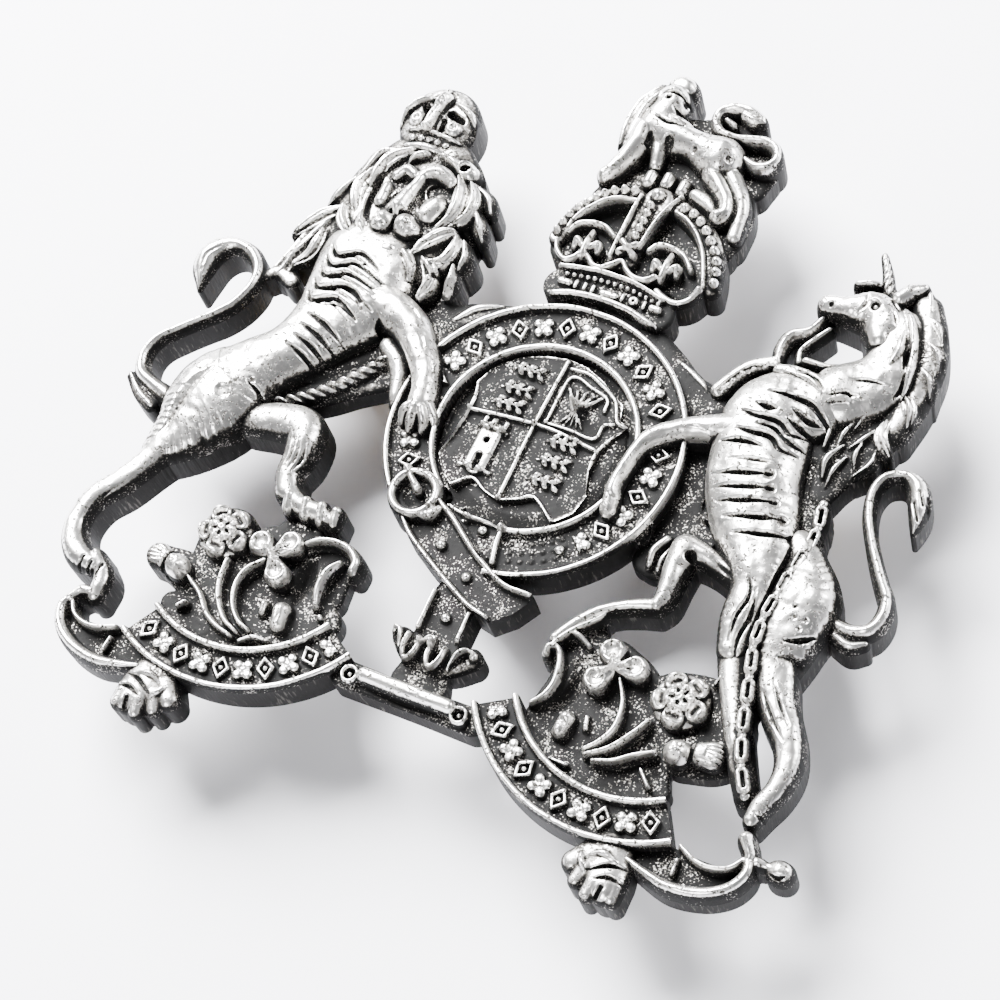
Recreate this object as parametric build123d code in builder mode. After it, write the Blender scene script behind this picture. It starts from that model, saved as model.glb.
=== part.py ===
"""Heraldic cap badge: a cast relief of a crowned lion and a unicorn beside a buckled belt, with two
loop lugs on its back and the split pin that holds it to a cap.

The badge lies face up. Its flat back is the plane Z = 0, its face looks along +Z and its crown points
along +Y. The origin is on the back, behind the centre of the belt. All sizes are in millimetres.
"""

import os
from math import cos, hypot, radians, sin

from build123d import *

os.makedirs("parts", exist_ok=True)

# ---- driving dimensions ----
BELT_RADIUS = 10.15  # outer radius of the round belt
BELT_INNER_RADIUS = 6.6  # inner radius of the round belt
RIM = 0.35  # width of a raised border line
EDGE = 1.9  # height of the casting's upright sides under the rounded figures
WEB_HEIGHT = 1.5  # height of the plain webs that tie the figures together
BELT_HEIGHT = 2.4  # height of the belt's and the scrolls' flat ground
RIM_HEIGHT = 2.9  # height of the raised border lines
FIELD_HEIGHT = 1.8  # height of the sunk ground behind the shield and the flowers
SMALLEST_SHARE = 0.1  # a scrap of outline smaller than this share of the piece is left off

SCROLL_CENTRE = (13.9, -12.4)  # centre of the right-hand scroll's arcs
SCROLL_OUTER = 11.35
SCROLL_INNER = 8.2
SCROLL_START = -121.0  # degrees, the outer end of the left-hand scroll
SCROLL_END = -31.5

LUG_SPACING = 32.0  # between the two lugs
LUG_Y = 4.0
LUG_WIRE = 1.3  # diameter of the lug's wire
LUG_BEND = 1.8  # radius of the lug's bend, to the wire's middle
LUG_LEG = 3.4  # straight length of a lug's leg below the badge's back
FOOT_RADIUS = 2.9
FOOT_HEIGHT = 0.5
SOLDER_WIDTH = 0.45

PIN_RADIUS = 0.95  # the two legs of the split pin together
PIN_GAP = 0.12  # between the two legs
PIN_LEFT = -18.6
PIN_RIGHT = 17.4
PIN_SHORT_LEG = 2.0  # how much shorter the second leg is
PIN_EYE_RADIUS = 1.9
PIN_Z = -LUG_LEG

claimed = []  # (label, outline) of each piece made so far
plates = {}  # label -> solid of each sunk ground, web or belt that other pieces stand on


def limb_outline(points, swell=1.0):
    """Outline of a limb: a disc at each (x, y, radius) point and the common tangents between neighbours."""
    with BuildSketch(mode=Mode.PRIVATE) as outline:
        for x, y, radius in points:
            with Locations((x, y)):
                Circle(radius * swell)
        for (x1, y1, r1), (x2, y2, r2) in zip(points, points[1:]):
            span = hypot(x2 - x1, y2 - y1)
            along_x, along_y = (x2 - x1) / span, (y2 - y1) / span
            lean = (r1 - r2) * swell / span
            if abs(lean) >= 1:
                continue
            side = (1 - lean * lean) ** 0.5
            corners = []
            for x, y, radius, sense in ((x1, y1, r1, 1), (x2, y2, r2, 1), (x2, y2, r2, -1), (x1, y1, r1, -1)):
                reach_x = lean * along_x - sense * side * along_y
                reach_y = lean * along_y + sense * side * along_x
                corners.append((x + radius * swell * reach_x, y + radius * swell * reach_y))
            with BuildLine():
                Polyline(*corners, close=True)
            make_face()
    return outline.sketch


def limbs_outline(limbs, swell=1.0):
    """One outline for several limbs."""
    with BuildSketch(mode=Mode.PRIVATE) as outline:
        for limb in limbs:
            add(limb_outline(limb, swell))
    return outline.sketch


def moved_limbs(limbs, dx, dy):
    """The same limbs, moved by (dx, dy)."""
    return [[(x + dx, y + dy, radius) for x, y, radius in limb] for limb in limbs]


def mirrored_limbs(limbs):
    """The same limbs on the other side of the badge's upright centre line."""
    return [[(-x, y, radius) for x, y, radius in limb] for limb in limbs]


def overlaps(one, other):
    """Whether the bounding boxes of two outlines meet in plan."""
    a, b = one.bounding_box(), other.bounding_box()
    apart_x = a.min.X > b.max.X or b.max.X < a.min.X
    apart_y = a.min.Y > b.max.Y or b.max.Y < a.min.Y
    return not (apart_x or apart_y)


def free_outline(outline, plate):
    """The faces of an outline that no earlier piece has claimed, without its small scraps.

    A plate keeps clear of the other plates only. Any other piece may lie over a plate, and keeps clear of
    the rest.
    """
    free = outline
    for label, taken in claimed:
        if (label in plates) == plate and overlaps(outline, taken):
            free = free - taken
    largest = max(face.area for face in free.faces())
    return [face for face in free.faces() if face.area > SMALLEST_SHARE * largest]


def cast_piece(label, tiers, plate=False):
    """One piece of the casting, in (outline, height) tiers that rise from the back plane or the plates under it.

    The first tier is the piece's whole outline. The higher ones lie inside it.
    """
    whole = tiers[0][0]
    with BuildPart() as piece:
        for outline, height in tiers:
            faces = free_outline(outline, plate)
            with BuildSketch(Plane.XY):
                for face in faces:
                    add(face)
            extrude(amount=height)
        if not plate:
            for name, ground in plates.items():
                if overlaps(whole, ground):
                    add(ground, mode=Mode.SUBTRACT)
    piece.part.label = label
    claimed.append((label, whole))
    if plate:
        plates[label] = piece.part
    export_step(piece.part, f"parts/{label}.step")


def rounded_piece(label, limbs, top, edge=EDGE):
    """A rounded figure: its limbs rise from the edge height to their top in three steps."""
    steps = ((1.0, 0.0), (0.86, 0.45), (0.68, 0.75), (0.42, 1.0))
    tiers = [(limbs_outline(limbs, swell), edge + share * (top - edge)) for swell, share in steps]
    cast_piece(label, tiers)


def ring_sector(inner, outer, start, end, centre):
    """A flat strip bent round a centre, from one angle to the other, in degrees."""
    cx, cy = centre

    def at(radius, angle):
        return cx + radius * cos(radians(angle)), cy + radius * sin(radians(angle))

    middle = (start + end) / 2
    with BuildSketch(mode=Mode.PRIVATE) as strip:
        with BuildLine():
            ThreePointArc(at(outer, start), at(outer, middle), at(outer, end))
            Line(at(outer, end), at(inner, end))
            ThreePointArc(at(inner, end), at(inner, middle), at(inner, start))
            Line(at(inner, start), at(outer, start))
        make_face()
    return strip.sketch


def mirrored(outline):
    """The same outline on the other side of the badge's upright centre line."""
    return mirror(outline, about=Plane.YZ)


# ---- the grounds: the belt, the scrolls, the sunk fields and the webs, which the figures stand on ----
BUCKLE_CENTRE = (-5.5, -6.5)
BELT_FROM = -84.0  # degrees, where the round belt comes out from behind the strap
BELT_TO = 232.0  # degrees, where it ends under the buckle
STRAP = [[(-6.2, -7.0, 1.25), (-3.4, -8.8, 1.3), (-0.4, -10.5, 1.3), (2.6, -11.5, 1.3)]]
STRAP_BORDERS = [
    [(-5.6, -5.4, 0.2), (-3.7, -6.5, 0.2), (-1.4, -8.2, 0.2), (0.6, -9.4, 0.2), (2.6, -10.2, 0.2)],
    [(-6.3, -8.0, 0.2), (-4.0, -9.7, 0.2), (-1.2, -11.6, 0.2), (0.8, -12.5, 0.2), (2.4, -12.8, 0.2)],
]
CROWN_CAP = [
    [(0.2, 15.2, 4.4), (0.4, 17.2, 4.2)],
    [(-3.8, 14.4, 1.6), (4.8, 14.4, 1.6)],
    [
        (-4.0, 15.4, 1.2),
        (-3.4, 17.2, 1.2),
        (-2.2, 19.0, 1.8),
        (0.3, 20.0, 1.6),
        (3.4, 19.0, 2.2),
        (4.8, 17.4, 1.6),
    ],
    [
        (-2.4, 19.6, 1.4),
        (-1.8, 21.6, 1.4),
        (0.8, 21.8, 1.6),
        (4.0, 21.2, 1.6),
        (5.4, 20.2, 1.4),
        (5.2, 18.2, 1.4),
    ],
    [(0.8, 21.8, 1.6), (1.0, 24.2, 1.4), (4.4, 24.6, 1.4), (5.6, 24.4, 1.4)],
    [(-0.4, 25.2, 1.2), (1.0, 25.4, 1.2), (2.4, 26.4, 0.8), (3.6, 26.4, 0.8)],
]
GROUND_LEFT = [
    [
        (-18.2, -16.8, 1.8),
        (-16.8, -16.6, 2.6),
        (-14.2, -16.4, 3.6),
        (-11.6, -16.2, 3.9),
        (-9.4, -15.8, 3.0),
    ],
    [(-15.8, -18.4, 1.8), (-12.4, -18.4, 2.2), (-9.6, -17.4, 2.0)],
    [
        (-13.4, -12.6, 1.6),
        (-11.0, -12.6, 1.8),
        (-8.8, -12.6, 1.6),
        (-7.4, -12.8, 1.5),
        (-7.4, -14.4, 1.2),
        (-7.6, -16.0, 1.0),
    ],
    [(-20.0, -16.0, 1.1), (-18.2, -14.6, 1.4)],
    [(-17.2, -18.6, 1.0), (-17.8, -19.8, 0.7)],
    [(-12.4, -11.6, 1.0), (-10.0, -11.2, 0.9)],
]
GROUND_RIGHT = [
    [(18.4, -15.2, 1.9), (16.6, -16.4, 2.4), (14.2, -16.4, 3.6), (11.6, -16.2, 3.6), (9.8, -15.2, 1.4)],
    [(15.8, -18.4, 1.8), (12.4, -18.4, 2.2), (9.6, -17.6, 1.4)],
    [
        (13.4, -13.0, 1.5),
        (11.4, -12.6, 1.6),
        (9.4, -12.0, 1.1),
        (8.2, -12.6, 0.8),
        (8.4, -14.6, 0.7),
        (8.0, -16.4, 0.7),
    ],
    [(9.2, -10.8, 0.8), (8.2, -11.8, 0.6), (7.4, -13.4, 0.5)],
    [(17.4, -12.6, 1.4), (18.8, -12.2, 1.4), (19.4, -14.0, 1.6), (20.4, -15.6, 1.4)],
    [(17.0, -18.6, 1.0), (17.8, -19.4, 0.7)],
    [(8.2, -17.2, 0.5), (9.6, -18.6, 0.8)],
]
WEBS = {
    "web_upper_left": [[(-11.4, 8.0, 1.2), (-9.6, 6.4, 1.6), (-7.4, 7.0, 1.4), (-5.4, 8.2, 1.0)]],
    "web_upper_right": [
        [(3.6, 9.4, 1.6), (5.6, 8.4, 1.5), (7.8, 7.0, 1.4), (9.6, 6.0, 1.8), (10.6, 6.2, 1.4)],
    ],
    "web_belly": [
        [(-11.6, 1.4, 1.6), (-13.4, 0.2, 1.3), (-15.0, -1.2, 1.3), (-17.4, -2.9, 1.3)],
        [(-11.4, 1.2, 1.6), (-10.4, 0.4, 0.8)],
    ],
    "web_right": [
        [(10.4, 3.2, 1.2), (11.0, 0.0, 1.4), (11.6, -2.6, 1.8), (11.4, -4.4, 1.6), (10.2, -4.8, 1.2)],
        [(13.2, -2.6, 1.4), (12.0, -3.4, 1.4)],
    ],
}

strap_borders = limbs_outline(STRAP_BORDERS)
belt_strap = [(limbs_outline(STRAP) + strap_borders, BELT_HEIGHT), (strap_borders, RIM_HEIGHT)]
cast_piece("belt_strap", belt_strap, plate=True)
belt_borders = Sketch() + [
    ring_sector(BELT_RADIUS - RIM, BELT_RADIUS, BELT_FROM, BELT_TO, (0, 0)),
    ring_sector(BELT_INNER_RADIUS, BELT_INNER_RADIUS + RIM, BELT_FROM, BELT_TO, (0, 0)),
]
belt_ring = ring_sector(BELT_INNER_RADIUS, BELT_RADIUS, BELT_FROM, BELT_TO, (0, 0))
cast_piece("belt_ring", [(belt_ring, BELT_HEIGHT), (belt_borders, RIM_HEIGHT)], plate=True)
with BuildSketch() as belt_field:
    Circle(BELT_INNER_RADIUS)
cast_piece("belt_field", [(belt_field.sketch, FIELD_HEIGHT)], plate=True)

with BuildSketch() as strap_end_ground:
    with Locations((0.1, -13.6)):
        Rectangle(2.8 + RIM, 4.4)
with BuildSketch() as strap_end_borders:
    with Locations((-1.3, -13.6), (1.5, -13.6)):
        Rectangle(RIM, 4.4)
strap_end = [(strap_end_ground.sketch, BELT_HEIGHT), (strap_end_borders.sketch, RIM_HEIGHT)]
cast_piece("strap_end", strap_end, plate=True)

scroll_angles = (-180 - SCROLL_START, -180 - SCROLL_END)
scroll_ground = ring_sector(SCROLL_INNER, SCROLL_OUTER, *scroll_angles, SCROLL_CENTRE)
scroll_borders = Sketch() + [
    ring_sector(SCROLL_OUTER - RIM, SCROLL_OUTER, *scroll_angles, SCROLL_CENTRE),
    ring_sector(SCROLL_INNER, SCROLL_INNER + RIM, *scroll_angles, SCROLL_CENTRE),
]
cast_piece("scroll_right", [(scroll_ground, BELT_HEIGHT), (scroll_borders, RIM_HEIGHT)], plate=True)
scroll_left = [(mirrored(scroll_ground), BELT_HEIGHT), (mirrored(scroll_borders), RIM_HEIGHT)]
cast_piece("scroll_left", scroll_left, plate=True)

cast_piece("crown_cap", [(limbs_outline(CROWN_CAP), EDGE)], plate=True)
cast_piece("flower_ground_left", [(limbs_outline(GROUND_LEFT), FIELD_HEIGHT)], plate=True)
cast_piece("flower_ground_right", [(limbs_outline(GROUND_RIGHT), FIELD_HEIGHT)], plate=True)
for label, limbs in WEBS.items():
    cast_piece(label, [(limbs_outline(limbs), WEB_HEIGHT)], plate=True)

# ---- the crest: a small crowned lion on the crown ----
CREST_TAIL = [
    [
        (5.3, 23.9, 0.5),
        (6.5, 23.7, 0.5),
        (7.1, 24.4, 0.5),
        (6.5, 25.2, 0.5),
        (5.2, 25.4, 0.45),
        (3.5, 25.1, 0.45),
        (2.2, 25.6, 0.45),
        (1.8, 26.6, 0.5),
        (2.5, 27.4, 0.5),
        (3.8, 27.3, 0.65),
        (4.5, 26.8, 0.4),
    ]
]
CREST_LION = [
    [(-1.8, 26.6, 1.5), (-1.4, 28.0, 1.05), (-1.5, 28.4, 0.75)],
    [(-1.8, 26.6, 1.5), (-2.2, 24.6, 1.7), (-1.2, 23.8, 1.5), (1.0, 23.6, 1.0), (3.5, 23.5, 1.6)],
    [(-2.4, 23.8, 1.2), (-2.9, 21.8, 0.8), (-3.3, 20.2, 0.75), (-3.6, 19.6, 0.6)],
    [(3.6, 22.8, 1.2), (4.4, 21.2, 0.75), (5.3, 20.0, 0.65), (5.4, 19.0, 0.6), (4.9, 18.7, 0.5)],
    [(4.4, 22.8, 0.9), (5.7, 21.3, 0.7), (6.4, 20.0, 0.6), (6.4, 19.0, 0.55)],
]
rounded_piece("crest_tail", CREST_TAIL, 3.3, edge=2.2)
rounded_piece("crest_lion", CREST_LION, 4.2)

# ---- the lion ----
LION_SHIFT = (-0.2, 0.2)
LION_FORELEG = [
    [
        (-13.3, 5.2, 1.6),
        (-11.6, 4.4, 1.4),
        (-10.2, 3.4, 1.25),
        (-9.0, 1.9, 1.1),
        (-8.5, 0.6, 0.95),
        (-8.2, -0.7, 0.95),
    ],
    [(-8.7, -1.2, 0.5), (-9.0, -1.9, 0.3)],
    [(-8.2, -1.2, 0.5), (-8.2, -2.2, 0.35)],
    [(-7.8, -1.2, 0.5), (-7.2, -1.9, 0.35)],
]
LION_HEAD = [[(-15.5, 15.3, 2.6), (-15.7, 13.6, 2.7), (-15.9, 12.0, 1.9), (-15.9, 10.8, 1.1)]]
LION_CORONET = [
    [(-16.5, 18.4, 2.0), (-16.7, 19.2, 2.6), (-16.8, 20.1, 2.9), (-16.9, 20.6, 2.4)],
    [(-17.0, 22.3, 0.5), (-17.0, 21.0, 0.8)],
]
LION_MANE = [
    [(-16.0, 15.6, 4.0), (-15.7, 13.4, 5.5), (-15.6, 11.4, 5.4), (-16.4, 9.6, 3.9)],
    [
        (-12.9, 16.7, 1.0),
        (-11.4, 15.4, 1.2),
        (-10.9, 13.6, 1.1),
        (-10.5, 11.6, 1.0),
        (-10.5, 9.6, 0.95),
        (-10.3, 8.0, 0.6),
    ],
    [(-19.4, 16.4, 1.0), (-20.5, 14.8, 1.0), (-21.0, 12.9, 0.9), (-21.6, 11.0, 0.9), (-22.4, 9.4, 0.7)],
    [(-20.6, 10.0, 1.2), (-21.4, 8.3, 0.9), (-21.8, 7.0, 0.8), (-22.2, 5.6, 0.9), (-20.9, 5.2, 0.9)],
]
LION_TORSO = [
    [(-16.2, 8.0, 4.0), (-15.9, 5.7, 4.2), (-16.6, 3.2, 3.0), (-18.1, 0.3, 2.1), (-20.4, -2.4, 2.4)],
    [(-20.4, -2.4, 2.4), (-21.7, -4.8, 3.4), (-22.5, -7.4, 2.5), (-23.5, -9.8, 1.25)],
]
LION_HIND_LEG = [
    [
        (-23.5, -9.8, 1.25),
        (-23.9, -11.3, 0.95),
        (-25.0, -13.3, 0.95),
        (-26.1, -14.9, 0.95),
        (-26.4, -16.4, 0.9),
        (-26.0, -17.8, 0.95),
        (-24.9, -18.9, 1.05),
        (-23.4, -19.0, 0.85),
    ]
]
LION_NEAR_LEG = [
    [(-16.8, -4.6, 1.1), (-14.8, -4.5, 1.55), (-14.3, -6.4, 1.25), (-14.0, -8.0, 1.1), (-13.9, -9.2, 1.05)],
    [(-13.9, -9.2, 1.05), (-12.6, -10.0, 0.85), (-11.2, -10.1, 0.75), (-9.9, -10.2, 0.75)],
]
LION_TAIL = [
    [
        (-25.4, -6.0, 0.8),
        (-26.8, -5.7, 0.7),
        (-28.0, -4.8, 0.6),
        (-28.4, -3.4, 0.55),
        (-27.9, -2.2, 0.5),
        (-26.8, -1.0, 0.5),
        (-25.6, 0.2, 0.5),
        (-24.5, 1.4, 0.5),
        (-23.8, 2.6, 0.55),
        (-23.5, 3.9, 0.55),
        (-23.8, 5.2, 0.6),
        (-24.7, 6.1, 0.6),
        (-25.9, 6.4, 0.55),
        (-27.0, 6.0, 0.6),
        (-27.6, 5.0, 0.6),
        (-27.7, 3.8, 0.5),
        (-27.6, 2.6, 0.35),
    ],
    [(-26.0, -6.5, 0.6), (-27.5, -6.1, 0.6)],
]
rounded_piece("lion_foreleg", moved_limbs(LION_FORELEG, *LION_SHIFT), 4.2, edge=2.9)
rounded_piece("lion_coronet", moved_limbs(LION_CORONET, *LION_SHIFT), 3.9)
rounded_piece("lion_head", moved_limbs(LION_HEAD, *LION_SHIFT), 5.2)
rounded_piece("lion_mane", moved_limbs(LION_MANE, *LION_SHIFT), 4.4)
rounded_piece("lion_torso", moved_limbs(LION_TORSO, *LION_SHIFT), 4.5)
rounded_piece("lion_hind_leg", moved_limbs(LION_HIND_LEG, *LION_SHIFT), 3.4)
rounded_piece("lion_near_leg", moved_limbs(LION_NEAR_LEG, *LION_SHIFT), 3.6)
rounded_piece("lion_tail", moved_limbs(LION_TAIL, *LION_SHIFT), 3.0, edge=2.2)

# ---- the chain down the unicorn's back ----
CHAIN_PATH = [
    (19.4, 2.2),
    (19.8, 0.2),
    (19.7, -1.6),
    (19.5, -3.4),
    (19.3, -5.2),
    (19.2, -7.0),
    (19.3, -8.8),
    (19.7, -10.6),
]
CHAIN_WIDTH = 0.9
LINK_LENGTH = 1.5
chain_bed = limb_outline([(x, y, CHAIN_WIDTH / 2) for x, y in CHAIN_PATH])
with BuildSketch() as chain_links:
    with Locations(*CHAIN_PATH):
        SlotOverall(LINK_LENGTH, CHAIN_WIDTH * 0.9, rotation=90)
cast_piece("unicorn_chain", [(chain_bed + chain_links.sketch, 4.0), (chain_links.sketch, 4.7)])

# ---- the unicorn ----
UNICORN_SHIFT = (-0.2, 0.2)
UNICORN_UPPER_FORELEG = [
    [
        (12.2, 4.9, 1.2),
        (10.5, 4.3, 0.85),
        (8.8, 3.6, 0.75),
        (7.2, 2.5, 0.75),
        (6.8, 1.3, 0.6),
        (6.7, 0.0, 0.55),
    ],
    [(6.7, 0.0, 0.55), (6.6, -1.6, 0.6), (6.8, -3.1, 0.6)],
]
UNICORN_LOWER_FORELEG = [
    [
        (16.3, -4.5, 0.9),
        (14.5, -4.2, 0.8),
        (13.0, -4.2, 1.15),
        (13.0, -6.0, 0.95),
        (12.9, -7.6, 0.75),
        (12.7, -8.4, 0.7),
    ],
    [(12.7, -8.4, 0.7), (11.3, -8.9, 0.6), (9.9, -9.6, 0.6), (9.0, -10.3, 0.55)],
]
UNICORN_HORN = [[(17.5, 17.6, 0.5), (17.0, 18.8, 0.38), (16.3, 20.2, 0.25)]]
UNICORN_HEAD = [
    [(14.5, 15.1, 0.95), (16.0, 15.4, 1.05), (17.8, 15.6, 1.7), (18.6, 14.6, 1.5)],
    [(15.7, 17.4, 0.45), (16.9, 17.4, 0.6), (18.6, 17.2, 1.0), (19.4, 17.8, 1.0)],
]
UNICORN_BEARD = [
    [(14.4, 13.8, 0.55), (13.6, 12.6, 0.7), (12.9, 11.7, 0.65), (12.6, 10.6, 0.6), (12.1, 9.7, 0.6)],
    [(12.1, 9.7, 0.6), (11.0, 8.8, 0.6), (10.2, 7.6, 0.6), (9.9, 6.8, 0.6)],
]
UNICORN_NECK = [[(19.2, 14.6, 1.3), (19.5, 12.4, 1.6), (19.0, 10.6, 1.9), (17.5, 9.2, 2.2)]]
UNICORN_MANE = [
    [
        (20.2, 17.2, 0.9),
        (21.3, 15.5, 0.9),
        (22.1, 13.8, 0.95),
        (22.5, 11.8, 0.95),
        (22.4, 9.8, 0.9),
        (22.0, 7.8, 0.95),
        (21.4, 6.4, 1.0),
        (20.2, 5.6, 1.4),
        (19.4, 3.9, 1.2),
        (19.2, 2.4, 0.9),
    ],
    [(21.4, 6.4, 1.0), (20.6, 8.4, 1.4), (21.2, 10.4, 1.2)],
]
UNICORN_TORSO = [
    [(16.4, 7.6, 2.4), (14.3, 6.1, 3.3), (14.8, 2.2, 3.3), (15.7, -0.2, 3.1), (17.3, -2.8, 2.7)],
    [(17.3, -2.8, 2.7), (18.0, -5.2, 1.7), (17.9, -7.4, 1.4), (18.2, -9.2, 1.1)],
]
UNICORN_HAUNCH = [[(20.6, -3.6, 2.2), (21.1, -5.2, 2.6), (21.0, -7.4, 2.5), (20.9, -9.6, 1.9)]]
UNICORN_HIND_LEG = [
    [
        (20.9, -9.6, 1.9),
        (22.2, -11.4, 1.2),
        (23.8, -13.3, 1.05),
        (24.6, -15.0, 0.9),
        (24.7, -16.8, 0.8),
        (24.2, -18.4, 0.8),
    ],
    [(24.2, -18.4, 0.8), (23.9, -19.4, 0.75)],
]
UNICORN_FAR_LEG = [
    [
        (18.6, -9.0, 1.2),
        (19.2, -11.2, 0.9),
        (20.4, -13.4, 0.9),
        (21.6, -15.4, 0.95),
        (22.6, -17.2, 0.9),
        (23.2, -18.4, 0.7),
    ]
]
UNICORN_TAIL = [
    [
        (23.4, -5.9, 0.8),
        (24.8, -6.0, 0.65),
        (25.9, -5.4, 0.6),
        (26.2, -4.4, 0.6),
        (26.0, -3.2, 0.55),
        (25.3, -2.1, 0.55),
        (24.3, -0.8, 0.55),
        (23.4, 0.6, 0.5),
        (22.7, 2.2, 0.5),
        (22.5, 3.6, 0.5),
        (23.0, 4.8, 0.5),
        (24.1, 5.0, 0.5),
        (25.0, 4.2, 0.75),
        (25.3, 3.2, 0.65),
        (25.7, 1.9, 0.3),
    ],
    [(22.8, 4.6, 0.5), (21.6, 5.4, 0.7)],
]
rounded_piece("unicorn_upper_foreleg", moved_limbs(UNICORN_UPPER_FORELEG, *UNICORN_SHIFT), 3.9, edge=2.9)
rounded_piece("unicorn_lower_foreleg", moved_limbs(UNICORN_LOWER_FORELEG, *UNICORN_SHIFT), 3.2)
rounded_piece("unicorn_horn", moved_limbs(UNICORN_HORN, *UNICORN_SHIFT), 2.9, edge=2.0)
rounded_piece("unicorn_head", moved_limbs(UNICORN_HEAD, *UNICORN_SHIFT), 4.2)
rounded_piece("unicorn_beard", moved_limbs(UNICORN_BEARD, *UNICORN_SHIFT), 3.0)
rounded_piece("unicorn_mane", moved_limbs(UNICORN_MANE, *UNICORN_SHIFT), 3.6)
rounded_piece("unicorn_neck", moved_limbs(UNICORN_NECK, *UNICORN_SHIFT), 4.0)
rounded_piece("unicorn_torso", moved_limbs(UNICORN_TORSO, *UNICORN_SHIFT), 4.6)
rounded_piece("unicorn_haunch", moved_limbs(UNICORN_HAUNCH, *UNICORN_SHIFT), 4.4)
rounded_piece("unicorn_hind_leg", moved_limbs(UNICORN_HIND_LEG, *UNICORN_SHIFT), 3.6)
rounded_piece("unicorn_far_leg", moved_limbs(UNICORN_FAR_LEG, *UNICORN_SHIFT), 2.6)
rounded_piece("unicorn_tail", moved_limbs(UNICORN_TAIL, *UNICORN_SHIFT), 3.0, edge=2.2)

# ---- the buckle and the shield ----
BUCKLE_RADIUS = 1.75
SHIELD_OUTLINE = [
    (-0.3, 6.1),
    (1.9, 5.6),
    (3.4, 4.7),
    (5.3, 2.9),
    (4.4, 1.6),
    (4.5, -1.0),
    (5.0, -3.2),
    (3.6, -5.0),
    (1.7, -4.0),
    (-0.3, -5.0),
    (-2.3, -4.0),
    (-4.2, -5.0),
    (-5.6, -3.2),
    (-5.1, -1.0),
    (-5.0, 1.6),
    (-5.6, 3.3),
    (-4.0, 4.7),
    (-2.5, 5.6),
]
SHIELD_MIDDLE = (-0.3, 0.7)
SHIELD_HEIGHT = 2.5

with BuildSketch() as buckle_ring:
    with Locations(BUCKLE_CENTRE):
        Circle(BUCKLE_RADIUS)
        Circle(BUCKLE_RADIUS - 2 * RIM, mode=Mode.SUBTRACT)
cast_piece("buckle_tongue", [(limb_outline([(-6.7, -5.2, 0.32), (-5.5, -6.3, 0.32)]), 3.4)])
cast_piece("belt_buckle", [(buckle_ring.sketch, 3.2)])
with BuildSketch() as shield_ground:
    with BuildLine():
        Polyline(*SHIELD_OUTLINE, close=True)
    make_face()
with BuildSketch() as shield_cross:
    with Locations(SHIELD_MIDDLE):
        Rectangle(10.0, RIM)
        Rectangle(RIM, 11.2)
    add(shield_ground.sketch, mode=Mode.INTERSECT)
cast_piece("shield", [(shield_ground.sketch, SHIELD_HEIGHT), (shield_cross.sketch, RIM_HEIGHT)])

# ---- the belt's hanging end ----
STRAP_TIP = [
    [(-2.2, -15.5, 0.65), (-1.0, -16.2, 0.9), (0.3, -16.4, 1.0), (1.6, -16.2, 0.9), (2.9, -15.5, 0.65)],
    [(0.3, -16.4, 1.0), (0.3, -17.8, 1.7)],
]
rounded_piece("strap_tip", STRAP_TIP, 3.0)

# ---- the royal-style crown over the belt ----
CROWN_MIDDLE = 0.35
with BuildSketch() as circlet_ground:
    with BuildLine():
        ThreePointArc((-3.6, 9.6), (CROWN_MIDDLE, 10.4), (4.3, 9.6))
        Line((4.3, 9.6), (4.6, 12.6))
        ThreePointArc((4.6, 12.6), (CROWN_MIDDLE, 13.4), (-3.9, 12.6))
        Line((-3.9, 12.6), (-3.6, 9.6))
    make_face()
CIRCLET_BORDERS = [
    [(-3.3, 10.2, 0.3), (-1.5, 10.6, 0.3), (0.3, 10.7, 0.3), (2.1, 10.6, 0.3), (3.9, 10.2, 0.3)],
    [(-3.5, 12.4, 0.2), (-1.5, 12.8, 0.2), (0.3, 12.9, 0.2), (2.1, 12.8, 0.2), (4.1, 12.4, 0.2)],
]
CROWN_ARCHES = [
    [(-4.9, 14.6, 0.5), (-4.6, 16.2, 0.55), (-3.7, 17.8, 0.55), (-2.1, 19.0, 0.55), (-0.6, 19.4, 0.5)],
    [(5.9, 14.6, 0.5), (5.6, 16.2, 0.55), (4.6, 17.6, 0.55), (2.9, 18.8, 0.55), (1.2, 19.4, 0.5)],
    [(0.0, 14.6, 0.9), (0.1, 17.0, 0.95), (0.4, 19.2, 0.8)],
]
FLEURONS = [
    [(-2.8, 12.4, 0.4), (-2.8, 15.6, 0.35)],
    [(-3.6, 14.8, 0.35), (-2.0, 14.8, 0.35)],
    [(3.0, 12.4, 0.4), (3.0, 15.6, 0.35)],
    [(2.2, 14.8, 0.35), (3.8, 14.8, 0.35)],
]
circlet_outline = circlet_ground.sketch + limbs_outline(FLEURONS)
circlet_borders = limbs_outline(CIRCLET_BORDERS + FLEURONS)
rounded_piece("crown_arches", CROWN_ARCHES, 3.4, edge=2.6)
cast_piece("crown_circlet", [(circlet_outline, BELT_HEIGHT), (circlet_borders, RIM_HEIGHT)])

# ---- the scrolls' folds, and the flowers and leaves ----
FOLD_LEFT = [
    [
        (-23.9, -20.4, 0.85),
        (-24.1, -21.8, 0.75),
        (-23.2, -23.1, 1.0),
        (-21.6, -23.8, 1.15),
        (-19.8, -23.8, 1.2),
        (-18.2, -23.6, 0.8),
    ],
    [(-23.0, -22.4, 0.6), (-21.2, -22.6, 0.9), (-19.8, -22.6, 1.0)],
]
FOLD_RIGHT = [
    [
        (24.0, -20.2, 0.75),
        (24.4, -21.4, 0.75),
        (23.3, -22.9, 0.95),
        (21.6, -23.8, 1.15),
        (19.8, -23.8, 1.2),
        (18.2, -23.6, 0.8),
    ],
    [(23.0, -22.4, 0.6), (21.2, -22.8, 0.8), (19.8, -22.6, 1.0)],
    [(24.6, -21.2, 0.7), (25.6, -21.2, 0.5), (26.4, -21.2, 0.9)],
]
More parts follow.
